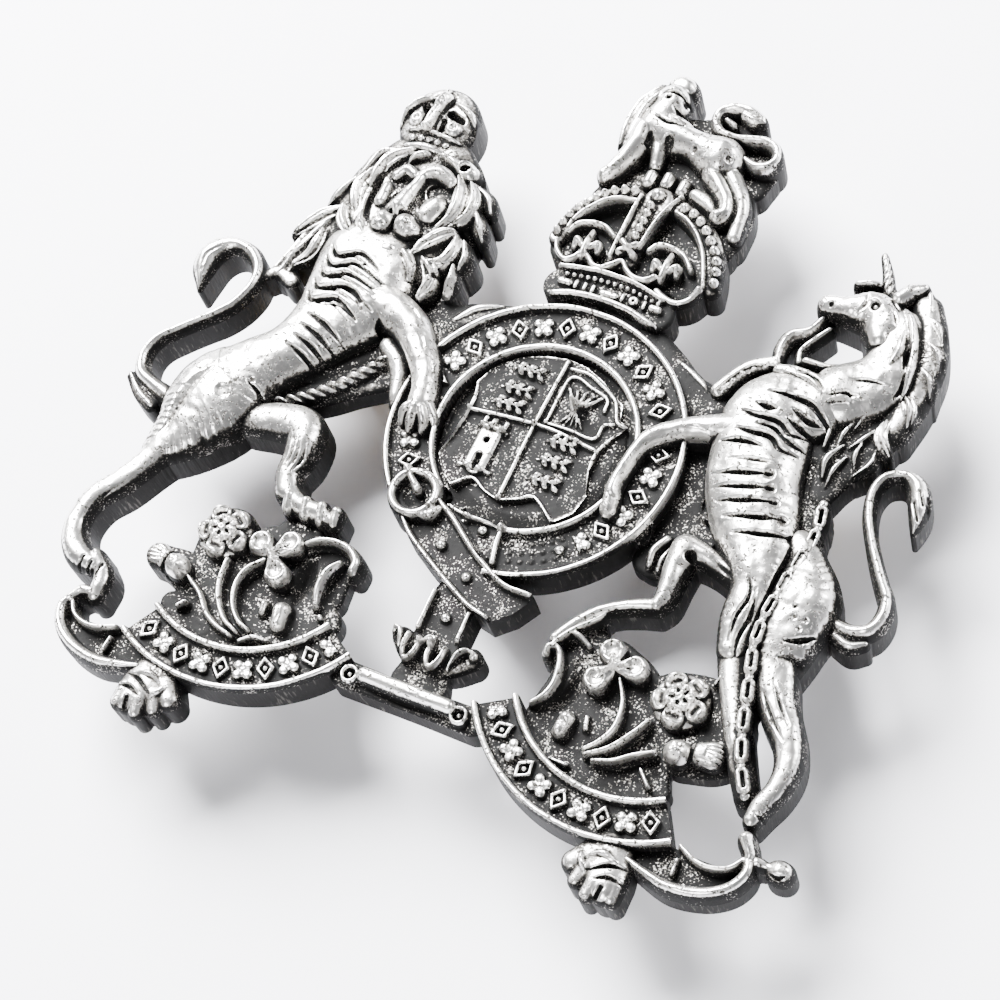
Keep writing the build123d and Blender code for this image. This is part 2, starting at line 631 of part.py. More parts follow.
LEAF_LEFT = [
    [(-16.4, -24.6, 1.5), (-16.4, -26.4, 1.2), (-16.4, -27.0, 0.8)],
    [(-17.0, -25.6, 0.9), (-17.6, -26.8, 0.7)],
    [(-15.2, -25.4, 1.0), (-14.0, -25.6, 0.8)],
]
THISTLE_LEFT = [[(-20.0, -16.0, 1.1), (-18.4, -16.7, 1.0)]]
ROSE_LEFT = [[(-16.7, -13.2, 2.05), (-16.71, -13.2, 2.05)]]
SHAMROCK_LEFT = [
    [(-13.7, -13.2, 0.8), (-12.8, -13.6, 0.5)],
    [(-12.1, -12.6, 0.8), (-12.8, -13.6, 0.5)],
    [(-12.0, -14.6, 0.8), (-12.8, -13.6, 0.5)],
]
SHAMROCK_RIGHT = [
    [(11.0, -12.0, 0.8), (11.8, -12.9, 0.5)],
    [(12.9, -12.6, 0.8), (11.8, -12.9, 0.5)],
    [(11.1, -14.0, 0.8), (11.8, -12.9, 0.5)],
]
rounded_piece("leaf_left", LEAF_LEFT, 3.0)
rounded_piece("leaf_right", mirrored_limbs(LEAF_LEFT), 3.0)
rounded_piece("fold_left", FOLD_LEFT, 2.8, edge=2.2)
rounded_piece("fold_right", FOLD_RIGHT, 2.8, edge=2.2)
rounded_piece("rose_left", ROSE_LEFT, 2.8, edge=2.2)
rounded_piece("rose_right", mirrored_limbs(moved_limbs(ROSE_LEFT, 0.2, -0.2)), 2.8, edge=2.2)
rounded_piece("thistle_left", THISTLE_LEFT, 3.0)
rounded_piece("thistle_right", mirrored_limbs(moved_limbs(THISTLE_LEFT, 0.6, 0.0)), 3.0)
rounded_piece("shamrock_left", SHAMROCK_LEFT, 2.7, edge=2.2)
rounded_piece("shamrock_right", SHAMROCK_RIGHT, 2.7, edge=2.2)

# ---- the tie bar between the scrolls ----
with BuildSketch() as tie_bar:
    with Locations((0.1, -19.2)):
        Rectangle(9.4, 1.7)
with BuildSketch() as tie_bar_ridge:
    with Locations((0.1, -19.1)):
        Rectangle(6.2, 1.0)
cast_piece("tie_bar", [(tie_bar.sketch, 2.2), (tie_bar_ridge.sketch, 2.9)])

# ---- the lugs on the back ----
for side, x in (("left", -LUG_SPACING / 2), ("right", LUG_SPACING / 2)):
    with BuildPart() as lug:
        with BuildLine() as wire:
            Line((x, LUG_Y - LUG_BEND, -FOOT_HEIGHT), (x, LUG_Y - LUG_BEND, -LUG_LEG))
            ThreePointArc(
                (x, LUG_Y - LUG_BEND, -LUG_LEG),
                (x, LUG_Y, -LUG_LEG - LUG_BEND),
                (x, LUG_Y + LUG_BEND, -LUG_LEG),
            )
            Line((x, LUG_Y + LUG_BEND, -LUG_LEG), (x, LUG_Y + LUG_BEND, -FOOT_HEIGHT))
        with BuildSketch(Plane((x, LUG_Y - LUG_BEND, -FOOT_HEIGHT), z_dir=(0, 0, -1))):
            Circle(LUG_WIRE / 2)
        sweep(path=wire.wires()[0])
    lug.part.label = f"lug_{side}"
    export_step(lug.part, f"parts/lug_{side}.step")

    with BuildPart() as foot:
        with BuildSketch(Plane.XY.offset(-FOOT_HEIGHT)):
            with Locations((x, LUG_Y)):
                Circle(FOOT_RADIUS)
        extrude(amount=FOOT_HEIGHT)
    foot.part.label = f"lug_foot_{side}"
    export_step(foot.part, f"parts/lug_foot_{side}.step")

    with BuildPart() as solder:
        with BuildSketch(Plane.XZ):
            with BuildLine():
                Polyline(
                    (FOOT_RADIUS, 0),
                    (FOOT_RADIUS + SOLDER_WIDTH, 0),
                    (FOOT_RADIUS, -FOOT_HEIGHT * 0.8),
                    close=True,
                )
            make_face()
        revolve(axis=Axis.Z)
    solder_ring = solder.part.moved(Location((x, LUG_Y, 0)))
    solder_ring.label = f"lug_solder_{side}"
    export_step(solder_ring, f"parts/lug_solder_{side}.step")

# ---- the split pin ----
with BuildPart() as split_pin:
    with BuildSketch(Plane.YZ.offset(PIN_LEFT)):
        with Locations((LUG_Y, PIN_Z)):
            Circle(PIN_RADIUS)
    extrude(amount=PIN_RIGHT - PIN_LEFT)
    with BuildSketch(Plane.XY.offset(PIN_Z - PIN_RADIUS)):
        with Locations((PIN_LEFT, LUG_Y)):
            Rectangle(2 * (PIN_RIGHT - PIN_LEFT), PIN_GAP, align=(Align.MIN, Align.CENTER))
    extrude(amount=2 * PIN_RADIUS, mode=Mode.SUBTRACT)
    with BuildSketch(Plane.XY.offset(PIN_Z - PIN_RADIUS)):
        with Locations((PIN_RIGHT, LUG_Y)):
            Rectangle(2 * PIN_SHORT_LEG, PIN_RADIUS, align=(Align.CENTER, Align.MIN))
    extrude(amount=2 * PIN_RADIUS, mode=Mode.SUBTRACT)
    with BuildSketch(Plane.XY.offset(PIN_Z - PIN_RADIUS / 2)):
        with Locations((PIN_LEFT - PIN_EYE_RADIUS + 0.6, LUG_Y)):
            Circle(PIN_EYE_RADIUS + PIN_RADIUS / 2)
            Circle(PIN_EYE_RADIUS - PIN_RADIUS / 2, mode=Mode.SUBTRACT)
    extrude(amount=PIN_RADIUS)
split_pin.part.label = "split_pin"
export_step(split_pin.part, "parts/split_pin.step")
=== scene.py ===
"""Heraldic cap badge: an openwork relief cast in white metal, with lug wires and a split pin behind it.

The badge lies face up. Its flat back is the plane z = 0, its face looks along +Z and its crown points
along +Y. Every relief is a height map in millimetres over one shared grid, and becomes a closed mesh in
metres: a top surface, upright sides and a flat back.
"""

from __future__ import annotations

import logging
import math
from dataclasses import dataclass
from enum import Enum

import bmesh
import bpy
import numpy as np
from mathutils import Matrix, Vector


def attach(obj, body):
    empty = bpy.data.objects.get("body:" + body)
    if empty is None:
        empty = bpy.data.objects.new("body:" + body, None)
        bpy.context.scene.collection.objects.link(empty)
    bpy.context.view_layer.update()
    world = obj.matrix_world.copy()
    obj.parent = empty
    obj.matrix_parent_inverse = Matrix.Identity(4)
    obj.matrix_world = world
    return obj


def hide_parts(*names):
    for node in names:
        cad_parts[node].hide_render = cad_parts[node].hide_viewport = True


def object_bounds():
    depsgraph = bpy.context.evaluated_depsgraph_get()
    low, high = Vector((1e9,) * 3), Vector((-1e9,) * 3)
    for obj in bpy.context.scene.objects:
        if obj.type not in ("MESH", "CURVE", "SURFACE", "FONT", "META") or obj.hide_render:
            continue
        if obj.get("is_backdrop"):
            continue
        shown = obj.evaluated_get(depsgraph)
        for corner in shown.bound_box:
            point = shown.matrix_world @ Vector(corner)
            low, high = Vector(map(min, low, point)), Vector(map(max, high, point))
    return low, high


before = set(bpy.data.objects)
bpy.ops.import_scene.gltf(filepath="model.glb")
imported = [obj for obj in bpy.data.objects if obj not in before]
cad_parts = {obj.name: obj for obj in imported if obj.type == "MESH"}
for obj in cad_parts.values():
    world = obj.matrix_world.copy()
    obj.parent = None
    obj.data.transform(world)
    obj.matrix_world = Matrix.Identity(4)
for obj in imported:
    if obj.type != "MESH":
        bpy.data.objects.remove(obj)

LOG = logging.getLogger("cap_badge")
MM = 0.001
CELL = 0.08  # grid spacing in mm, finer than the smallest cast bead
FAR = -9.0  # the footprint value of a cell that no stroke reaches
RIM = 2.9  # height of the casting's rims in mm, which the grounds lie below
CREASE = math.radians(40)  # edges sharper than this stay sharp on wire, discs and solder
Points = list[tuple[float, ...]]


class Body(Enum):
    """The rigid bodies that pieces ride on."""

    BADGE = "badge"
    PIN = "pin"


@dataclass(frozen=True)
class Sheet:
    """The grid that every relief is drawn on, in millimetres."""

    left: float = -29.8
    right: float = 28.6
    low: float = -29.4
    high: float = 30.4

    def axes(self) -> tuple[np.ndarray, np.ndarray]:
        """Returns the grid's x and y positions, each spaced by CELL."""
        return np.arange(self.left, self.right, CELL), np.arange(self.low, self.high, CELL)


SHEET = Sheet()
XS, YS = SHEET.axes()


def smooth_path(points: Points, steps: int = 5) -> np.ndarray:
    """Runs a Catmull-Rom curve through the rows of points, whatever numbers each row holds.

    Formula: between rows b and c, with neighbours a and d and f from 0 to 1, half of (2b + (c - a) f + (2a
    - 5b + 4c - d) f^2 + (3b - a - 3c + d) f^3).

    Args:
        points: rows such as (x, y, radius, top).
        steps: rows of the result for each span between two points.

    Returns:
        The curve's rows, ends included.
    """
    rows = np.asarray(points, float)
    if len(rows) < 3:
        return rows
    padded = np.vstack([2 * rows[0] - rows[1], rows, 2 * rows[-1] - rows[-2]])
    a, b, c, d = (padded[i : len(padded) - 3 + i, None, :] for i in range(4))
    f = (np.arange(steps) / steps)[None, :, None]
    curve = 0.5 * (2 * b + (c - a) * f + (2 * a - 5 * b + 4 * c - d) * f**2 + (3 * b - a - 3 * c + d) * f**3)
    return np.vstack([curve.reshape(-1, rows.shape[1]), rows[-1]])


def grown(mask: np.ndarray, cells: int) -> np.ndarray:
    """Widens a mask: a point is set if any within that many rows and columns of it is.

    Args:
        mask: true or false at each grid point.
        cells: how many rows and columns to widen it by.

    Returns:
        The widened mask.
    """
    for axis in (0, 1):
        mask = np.logical_or.reduce([np.roll(mask, k, axis) for k in range(-cells, cells + 1)])
    return mask


def blurred(field_map: np.ndarray, sigma: float) -> np.ndarray:
    """Blurs a map with a Gaussian of sigma millimetres: one weighted sum along each axis.

    Args:
        field_map: values on the grid.
        sigma: the Gaussian's standard deviation in mm.

    Returns:
        The blurred map.
    """
    reach = int(math.ceil(3 * sigma / CELL))
    taps = np.exp(-0.5 * (np.arange(-reach, reach + 1) * CELL / sigma) ** 2)
    taps /= taps.sum()
    result = field_map
    for axis in (0, 1):
        padded = np.pad(result, [(reach, reach) if a == axis else (0, 0) for a in (0, 1)], mode="edge")
        size = result.shape[axis]
        result = sum(w * np.take(padded, np.arange(k, k + size), axis=axis) for k, w in enumerate(taps))
    return result


class Relief:
    """The height map of one cast piece. Strokes, beads and rings are added to it, all in millimetres."""

    def __init__(self, edge: float = 2.0, shift: tuple[float, float] = (0.0, 0.0),
                 ground: float = 0.0) -> None:
        """Starts an empty relief.

        Args:
            edge: height of the upright sides, where a rounded limb meets them.
            shift: moves every stroke that follows by this x and y.
            ground: at and below this height the metal is darkened with age, or 0 for none.
        """
        self.edge = edge
        self.shift = shift
        self.ground = ground
        self.footprint = np.full((len(YS), len(XS)), FAR)
        self.height = np.zeros_like(self.footprint)

    def _window(self, rows: np.ndarray, reach: float) -> tuple[slice, slice, np.ndarray, np.ndarray]:
        """Finds the part of the grid within reach of a path.

        Args:
            rows: the path's rows, which start with x and y.
            reach: how far from it, in mm.

        Returns:
            The slice of rows, the slice of columns, and the x and y positions there.
        """
        pad = reach + 4 * CELL
        i = np.searchsorted(XS, [rows[:, 0].min() - pad, rows[:, 0].max() + pad])
        j = np.searchsorted(YS, [rows[:, 1].min() - pad, rows[:, 1].max() + pad])
        x, y = np.meshgrid(XS[i[0] : i[1]], YS[j[0] : j[1]])
        return slice(j[0], j[1]), slice(i[0], i[1]), x, y

    def _swept(self, rows: np.ndarray, x: np.ndarray, y: np.ndarray) -> tuple[np.ndarray, ...]:
        """Measures the grid against a path of varying radius.

        Formula: for each run of the path, the nearest place on it gives a distance d and a radius r, and
        the run with the smallest u = d / r wins.

        Args:
            rows: the path's rows of x, y, radius and a last value.
            x: the grid's x positions.
            y: the grid's y positions.

        Returns:
            u, the radius there, the distance along the path in mm, the side (-1 to 1) and the path's last
            value.
        """
        best = np.full(x.shape, 1e9)
        radius, along, side, top = (np.zeros(x.shape) for _ in range(4))
        walked = 0.0
        for p, q in zip(rows[:-1], rows[1:]):
            run = q[:2] - p[:2]
            length = max(float(np.hypot(*run)), 1e-6)
            dx, dy = x - p[0], y - p[1]
            f = np.clip((dx * run[0] + dy * run[1]) / length**2, 0.0, 1.0)
            r = p[2] + (q[2] - p[2]) * f
            u = np.hypot(dx - f * run[0], dy - f * run[1]) / r
            near = u < best
            best = np.where(near, u, best)
            radius = np.where(near, r, radius)
            along = np.where(near, walked + f * length, along)
            side = np.where(near, (dy * run[0] - dx * run[1]) / (length * r), side)
            top = np.where(near, p[-1] + (q[-1] - p[-1]) * f, top)
            walked += length
        return best, radius, along, side, top

    def _rows(self, points: Points) -> np.ndarray:
        """Runs a smooth path through points and moves it by the relief's shift.

        Args:
            points: rows of x, y, radius and a last value.

        Returns:
            The path's rows, none with a radius under 0.05 mm.
        """
        rows = smooth_path(points)
        rows[:, 0] += self.shift[0]
        rows[:, 1] += self.shift[1]
        rows[:, 2] = np.maximum(rows[:, 2], 0.05)
        return rows

    def limb(
        self, points: Points, strands: float = 0.0, depth: float = 0.18, round_: float = 2.0,
        blend: float = 0.2,
        edge: float | None = None, rings: float = 0.0,
    ) -> None:
        """Adds a rounded limb that widens the footprint.

        Formula: height = edge + (top - edge) * sqrt(1 - u^round_), joined to what is there by a soft
        maximum over blend mm. Strands are grooves along the limb, depth * cos(pi * strands * side), that
        fade at its edges. Rings are grooves across it, rings mm apart.

        Args:
            points: rows of x, y, radius and top height.
            strands: how many grooves run along the limb.
            depth: depth of the grooves.
            round_: 2 gives a round top, more gives a flatter one.
            blend: how softly the limb joins the others.
            edge: height of its sides, if not the relief's own.
            rings: spacing of the grooves across the limb, or 0 for none.
        """
        rows = self._rows(points)
        low = self.edge if edge is None else edge
        js, is_, x, y = self._window(rows, rows[:, 2].max())
        u, r, along, side, top = self._swept(rows, x, y)
        crown = np.sqrt(np.clip(1 - u**round_, 0, 1))
        new = low + (top - low) * crown
        if strands:
            new = new + depth * (np.cos(math.pi * strands * side) - 1) * 0.5 * np.clip(2 * crown, 0, 1)
        if rings:
            new = new + depth * (np.cos(2 * math.pi * (along + 0.5 * side) / rings) - 1) * 0.5 * crown
        print_new = r * (1 - u)
        near = print_new > -4 * CELL
        old_print, old = self.footprint[js, is_], self.height[js, is_]
        soft = np.maximum(new, old) + np.maximum(blend - np.abs(new - old), 0) ** 2 / (4 * max(blend, 1e-6))
        both = near & (old_print > -4 * CELL)
        joined = np.where((print_new > 0) & (old_print > 0), soft, np.maximum(new, old))
        self.height[js, is_] = np.where(both, joined, np.where(near, new, old))
        self.footprint[js, is_] = np.maximum(old_print, np.where(near, print_new, FAR))

    def ridge(self, points: Points, width: float, rise: float, taper: bool = True,
              round_: float = 2.0) -> None:
        """Raises a ridge, or with a negative rise cuts a groove, inside the footprint.

        Formula: rise * sqrt(1 - u^2) across a ridge, and rise * (1 - u) across a groove, with the width
        shrinking to a third at both ends where it tapers.

        Args:
            points: rows of x and y.
            width: its full width at the middle.
            rise: how high it stands, or how deep it cuts if negative.
            taper: whether its ends thin out.
            round_: 2 gives a round top, more gives a flatter one.
        """
        count = len(points)
        ends = [1 - 0.67 * abs(2 * k / max(count - 1, 1) - 1) ** 2 if taper and count > 2 else 1.0
                for k in range(count)]
        rows = self._rows([(x, y, 0.5 * width * e, e) for (x, y), e in zip(points, ends)])
        js, is_, x, y = self._window(rows, rows[:, 2].max())
        u, _, _, _, fade = self._swept(rows, x, y)
        shape = np.sqrt(np.clip(1 - u**round_, 0, 1)) if rise > 0 else np.clip(1 - u, 0, 1)
        self.height[js, is_] += rise * np.clip(fade, 0.3, 1) * shape

    def bead(self, x: float, y: float, r: float, rise: float, grow: bool = False) -> None:
        """Raises a round bead of radius r and height rise, or sinks a dimple if rise is negative.

        Args:
            x: centre.
            y: centre.
            r: radius.
            rise: height above what is there.
            grow: whether it widens the footprint.
        """
        if grow:
            self.limb([(x, y, r, self.edge + rise), (x + 0.01, y, r, self.edge + rise)], blend=0.0)
            return
        rows = np.array([[x + self.shift[0], y + self.shift[1], r]])
        js, is_, gx, gy = self._window(rows, r)
        u = np.hypot(gx - rows[0, 0], gy - rows[0, 1]) / r
        self.height[js, is_] += rise * np.sqrt(np.clip(1 - u**2, 0, 1))

    def beads(self, points: Points, r: float, rise: float, spacing: float, grow: bool = False) -> None:
        """Sets beads along a smooth path, spacing mm apart.

        Args:
            points: rows of x and y.
            r: radius of each bead.
            rise: height of each bead.
            spacing: distance between their centres.
            grow: whether they widen the footprint.
        """
        rows = smooth_path(points)
        walked = np.concatenate([[0], np.cumsum(np.hypot(*np.diff(rows[:, :2], axis=0).T))])
        count = max(int(round(walked[-1] / spacing)), 1)
        for place in np.linspace(0, walked[-1], count + 1):
            self.bead(np.interp(place, walked, rows[:, 0]), np.interp(place, walked, rows[:, 1]), r, rise,
                      grow)

    def plate(self, inside: np.ndarray, top: np.ndarray | float) -> None:
        """Adds a flat area.

        Args:
            inside: how far each grid point lies inside the area, in mm, negative outside it.
            top: its height.
        """
        near = inside > -4 * CELL
        self.height = np.where(near, np.maximum(self.height, top), self.height)
        self.footprint = np.maximum(self.footprint, np.where(near, inside, FAR))

    def keep(self, inside: np.ndarray) -> None:
        """Keeps only what also lies inside another area, given as for plate."""
        self.footprint = np.minimum(self.footprint, inside)

    def mirrored(self) -> Relief:
        """The same relief on the other side of x = 0."""
        other = Relief(self.edge, ground=self.ground)
        column = np.clip(np.searchsorted(XS, -XS - CELL / 2), 0, len(XS) - 1)
        other.footprint = self.footprint[:, column]
        other.height = self.height[:, column]
        return other


@dataclass(frozen=True)
class Lion:
    """The crowned lion on the left: coronet, head, mane, body, legs and tail."""

    surface: tuple[float, float] = (0.45, -0.45)  # moves the drawn fur onto the top of the rounded body
    outline: tuple[float, float] = (-0.4, 0.4)

    def coronet(self) -> Relief:
        """The small crown on the head: a jewelled band, two roundels and three arches."""
        r = Relief(2.0, self.outline)
        r.limb([(-16.5, 18.4, 2.1, 3.3), (-16.7, 19.3, 2.7, 3.5), (-16.8, 20.2, 2.9, 3.4),
                (-16.9, 20.9, 2.1, 3.2)], round_=3)
        r.limb([(-17.1, 22.4, 0.45, 3.4), (-17.0, 21.0, 0.7, 3.6)])
        r.shift = (-0.1, 0.1)
        r.ridge([(-18.3, 17.5), (-16.6, 17.7), (-14.6, 17.6)], 0.7, 0.5, taper=False)
        r.ridge([(-18.5, 18.8), (-16.7, 19.0), (-14.6, 18.9)], 0.3, 0.35, taper=False)
        r.beads([(-18.0, 18.25), (-16.7, 18.4), (-14.8, 18.3)], 0.26, 0.3, 0.65)
        r.ridge([(-17.2, 19.2), (-17.2, 20.6), (-17.0, 22.0)], 0.85, 0.8, taper=False)
        r.ridge([(-17.2, 19.4), (-17.1, 21.6)], 0.2, -0.25)
        r.ridge([(-19.6, 19.0), (-19.5, 20.3), (-18.7, 21.3), (-17.6, 21.9)], 0.6, 0.7)
        r.ridge([(-14.2, 18.9), (-13.9, 20.2), (-14.7, 21.2), (-16.3, 21.9)], 0.6, 0.7)
        r.bead(-18.4, 19.8, 0.62, 0.45)
        r.bead(-18.4, 19.8, 0.25, -0.3)
        r.bead(-15.5, 19.8, 0.62, 0.45)
        r.bead(-15.5, 19.8, 0.25, -0.3)
        r.ridge([(-18.2, 20.9), (-17.9, 20.6)], 0.7, -0.7)
        r.ridge([(-16.2, 20.9), (-15.4, 20.6)], 0.8, -0.9)
        r.ridge([(-17.8, 20.2), (-17.7, 19.4)], 0.45, -0.6)
        r.ridge([(-16.4, 20.2), (-16.3, 19.4)], 0.45, -0.6)
        return r

    def head(self) -> Relief:
        """The face: brow, eyes, nose, muzzle pads and open mouth."""
        r = Relief(3.0, self.surface)
        r.limb([(-15.8, 15.4, 2.3, 3.7), (-15.9, 13.8, 2.3, 3.9), (-16.1, 11.8, 1.8, 3.9),
                (-16.1, 10.3, 1.0, 3.6)], round_=2.6)
        r.limb([(-18.0, 15.4, 0.5, 4.1), (-17.4, 15.95, 0.55, 4.4), (-16.6, 15.7, 0.5, 4.4)], blend=0.3)
        r.limb([(-16.0, 15.9, 0.6, 4.5), (-15.0, 16.35, 0.75, 4.8), (-13.9, 16.0, 0.6, 4.4)], blend=0.3)
        r.limb([(-16.0, 15.6, 0.55, 4.5), (-16.2, 14.2, 0.7, 4.75), (-16.35, 12.8, 0.9, 5.05)], blend=0.3)
        r.limb([(-14.2, 13.9, 1.0, 4.4), (-14.5, 13.2, 1.0, 4.4)], blend=0.3)
        r.limb([(-18.3, 14.4, 0.5, 4.1), (-18.2, 13.2, 0.6, 4.2)], blend=0.3)
        r.limb([(-17.0, 11.6, 0.95, 4.9), (-17.1, 11.3, 0.9, 4.8)], blend=0.15)
        r.limb([(-15.4, 11.7, 1.05, 4.95), (-15.0, 11.5, 0.95, 4.7)], blend=0.15)
        r.limb([(-16.0, 9.75, 0.8, 4.2), (-15.8, 9.8, 0.8, 4.2)], blend=0.1)
        r.ridge([(-17.6, 10.6), (-16.4, 10.4), (-15.1, 10.55), (-14.1, 11.4)], 0.75, -1.6)
        r.ridge([(-16.25, 11.8), (-16.15, 10.9)], 0.32, -0.8)
        r.bead(-17.25, 14.8, 0.6, -1.3)
        r.bead(-14.6, 14.95, 0.7, -1.6)
        r.bead(-14.6, 15.1, 0.26, 0.8)
        r.ridge([(-15.5, 14.8), (-15.3, 14.0), (-15.0, 13.0)], 0.4, -0.5)
        r.ridge([(-17.2, 14.6), (-17.4, 13.8), (-17.7, 13.1)], 0.36, -0.5)
        r.bead(-16.75, 12.3, 0.26, -0.7)
        r.bead(-15.9, 12.35, 0.26, -0.7)
        for k in range(3):
            r.bead(-17.4 + 0.3 * k, 11.6 - 0.22 * k, 0.1, -0.2)
            r.bead(-15.2 + 0.3 * k, 11.8 - 0.1 * k, 0.1, -0.2)
        return r

    def mane(self) -> Relief:
        """The mane: ears and overlapping locks of hair round the face."""
        r = Relief(2.0, self.outline)
        r.limb([(-16.0, 15.6, 4.0, 3.3), (-15.7, 13.4, 5.3, 3.5), (-15.6, 11.4, 5.2, 3.6),
                (-16.4, 9.6, 3.9, 3.5)], round_=4)
        r.limb([(-20.6, 10.0, 1.2, 3.2), (-21.4, 8.3, 0.9, 3.0), (-21.8, 7.0, 0.8, 2.9),
                (-22.2, 5.8, 0.9, 2.6)], strands=3)
        r.shift = (0.0, 0.0)
        locks: list[tuple[Points, float]] = [
            ([(-18.9, 17.0, 0.5, 3.8), (-19.9, 16.6, 0.8, 3.6), (-20.4, 15.2, 0.6, 3.3),
              (-20.9, 14.4, 0.3, 2.9)], 2),
            ([(-19.6, 15.0, 0.5, 3.9), (-20.0, 13.7, 0.75, 4.0), (-19.6, 12.3, 0.6, 3.9),
              (-19.2, 11.6, 0.3, 3.6)], 3),
            ([(-20.6, 14.2, 0.4, 3.5), (-21.2, 12.9, 0.7, 3.5), (-21.6, 11.9, 0.4, 3.1)], 2),
            ([(-20.4, 11.6, 0.5, 3.6), (-21.5, 10.8, 0.8, 3.5), (-22.6, 9.6, 0.6, 3.1),
              (-23.1, 9.0, 0.3, 2.7)], 3),
            ([(-20.2, 11.6, 0.5, 4.0), (-19.8, 10.7, 0.7, 4.1), (-18.9, 9.9, 0.55, 4.0),
              (-17.9, 9.5, 0.3, 3.8)], 3),
            ([(-20.9, 9.6, 0.4, 3.5), (-20.8, 8.6, 0.7, 3.6), (-21.1, 7.6, 0.6, 3.3), (-21.9, 6.8, 0.3, 3.0)],
             3),
            ([(-21.6, 9.0, 0.3, 3.1), (-22.0, 8.0, 0.6, 3.1), (-22.6, 7.1, 0.35, 2.8)], 2),
            ([(-13.3, 16.2, 0.4, 4.2), (-12.6, 15.0, 0.75, 4.5), (-12.4, 13.4, 0.7, 4.5),
              (-13.0, 11.8, 0.3, 4.2)], 3),
            ([(-12.3, 16.1, 0.4, 4.0), (-11.6, 15.0, 0.7, 4.3), (-11.5, 13.6, 0.6, 4.2),
              (-12.2, 12.4, 0.3, 4.0)], 3),
            ([(-11.9, 16.2, 0.4, 3.5), (-10.9, 15.6, 0.6, 3.6), (-10.3, 14.7, 0.4, 3.3)], 2),
            ([(-11.2, 14.4, 0.4, 3.7), (-10.5, 13.4, 0.65, 3.8), (-9.9, 12.5, 0.35, 3.3)], 2),
            ([(-11.7, 12.2, 0.4, 4.1), (-12.4, 11.6, 0.8, 4.4), (-13.3, 10.6, 0.7, 4.3),
              (-13.8, 9.8, 0.3, 4.0)], 4),
            ([(-11.4, 12.0, 0.4, 4.0), (-11.2, 11.0, 0.65, 4.2), (-11.5, 9.9, 0.6, 4.1),
              (-12.5, 9.4, 0.3, 4.0)], 3),
            ([(-10.8, 11.8, 0.4, 3.8), (-10.3, 10.8, 0.6, 3.8), (-10.3, 9.9, 0.35, 3.6)], 2),
            ([(-10.7, 9.8, 0.35, 3.7), (-10.5, 8.9, 0.55, 3.8), (-10.5, 7.9, 0.3, 3.4)], 2),
            ([(-17.6, 17.4, 0.4, 4.0), (-18.6, 16.6, 0.75, 4.2), (-19.1, 15.3, 0.7, 4.2),
              (-19.2, 14.0, 0.35, 4.0)], 3),
            ([(-15.2, 17.5, 0.4, 4.1), (-14.2, 17.2, 0.7, 4.3), (-13.2, 16.5, 0.4, 4.0)], 2),
            ([(-16.4, 17.3, 0.4, 4.1), (-17.0, 16.9, 0.5, 4.2), (-17.4, 16.3, 0.3, 4.0)], 1),
            ([(-18.7, 11.6, 0.4, 4.0), (-18.2, 10.6, 0.7, 4.3), (-17.2, 9.8, 0.6, 4.2),
              (-16.2, 9.6, 0.3, 3.9)], 3),
            ([(-15.4, 9.9, 0.4, 4.0), (-14.4, 9.6, 0.7, 4.2), (-13.5, 8.8, 0.6, 4.1), (-13.2, 7.8, 0.3, 3.8)],
             3),
            ([(-12.9, 9.6, 0.4, 3.9), (-12.1, 9.0, 0.7, 4.1), (-11.8, 8.0, 0.6, 3.9), (-12.1, 7.0, 0.3, 3.5)],
             3),
        ]
        r.shift = (0.1, -0.1)
        for points, strands in locks:
            r.limb(points, strands=strands, depth=0.28, blend=0.0, edge=2.2)
        r.shift = (-0.1, 0.1)
        r.limb([(-13.2, 16.9, 0.8, 4.3), (-12.6, 16.6, 0.8, 4.1)], blend=0.0, edge=2.6)
        r.bead(-13.05, 16.85, 0.42, -1.4)
        r.shift = (0.3, -0.3)
        for points in (
            [(-18.9, 15.6), (-19.0, 14.0), (-18.8, 12.4), (-18.2, 11.2)],
            [(-18.4, 10.8), (-17.2, 10.0), (-16.0, 9.7), (-14.9, 9.9), (-14.2, 10.6)],
            [(-12.3, 12.9), (-11.3, 12.4), (-10.2, 12.1)],
            [(-12.9, 9.4), (-12.2, 8.9), (-11.4, 9.2), (-11.1, 10.2)],
            [(-18.2, 16.2), (-17.0, 16.7), (-15.0, 16.9), (-13.9, 16.6)],
        ):
            r.ridge(points, 0.7, -0.7)
        return r

    def torso(self) -> Relief:
        """Chest, ribs, belly and haunch, with the chest fur in waves and the ribs as long grooves."""
        r = Relief(2.1, (-0.3, 0.3))
        r.limb(
            [(-16.4, 8.0, 3.9, 4.2), (-16.1, 5.7, 3.9, 4.4), (-16.9, 3.2, 2.9, 4.3), (-18.3, 0.3, 2.2, 4.2),
             (-20.4, -2.4, 2.5, 4.3)], round_=2.6,
        )
        r.limb([(-20.4, -2.4, 2.4, 4.2), (-21.7, -4.8, 3.4, 4.6), (-22.5, -7.4, 2.4, 4.1),
                (-23.7, -9.8, 1.2, 3.4)], round_=2.3)
        r.limb([(-19.8, -4.2, 1.4, 4.0), (-20.2, -6.6, 1.1, 3.7), (-21.6, -8.6, 0.9, 3.2)], round_=2.3)
        r.shift = self.surface
        for y, sag, right in ((8.3, 0.5, -15.4), (7.4, 0.6, -14.4), (6.5, 0.6, -13.6), (5.5, 0.6, -14.6),
                              (4.5, 0.5, -15.4)):
            r.ridge([(-19.7, y + 0.5), (-19.0, y - 0.2), (-18.0, y + 0.1), (-17.0, y + 0.3),
                     (right, y - sag)], 0.55, -0.7)
            r.ridge([(-19.4, y + 0.1), (-18.4, y - 0.3), (-17.4, y - 0.1), (right, y - sag - 0.4)], 0.3, -0.4)
        r.ridge([(-18.4, 5.3), (-17.6, 5.8), (-16.6, 5.9), (-15.8, 5.4), (-15.3, 4.7)], 0.5, -0.5)
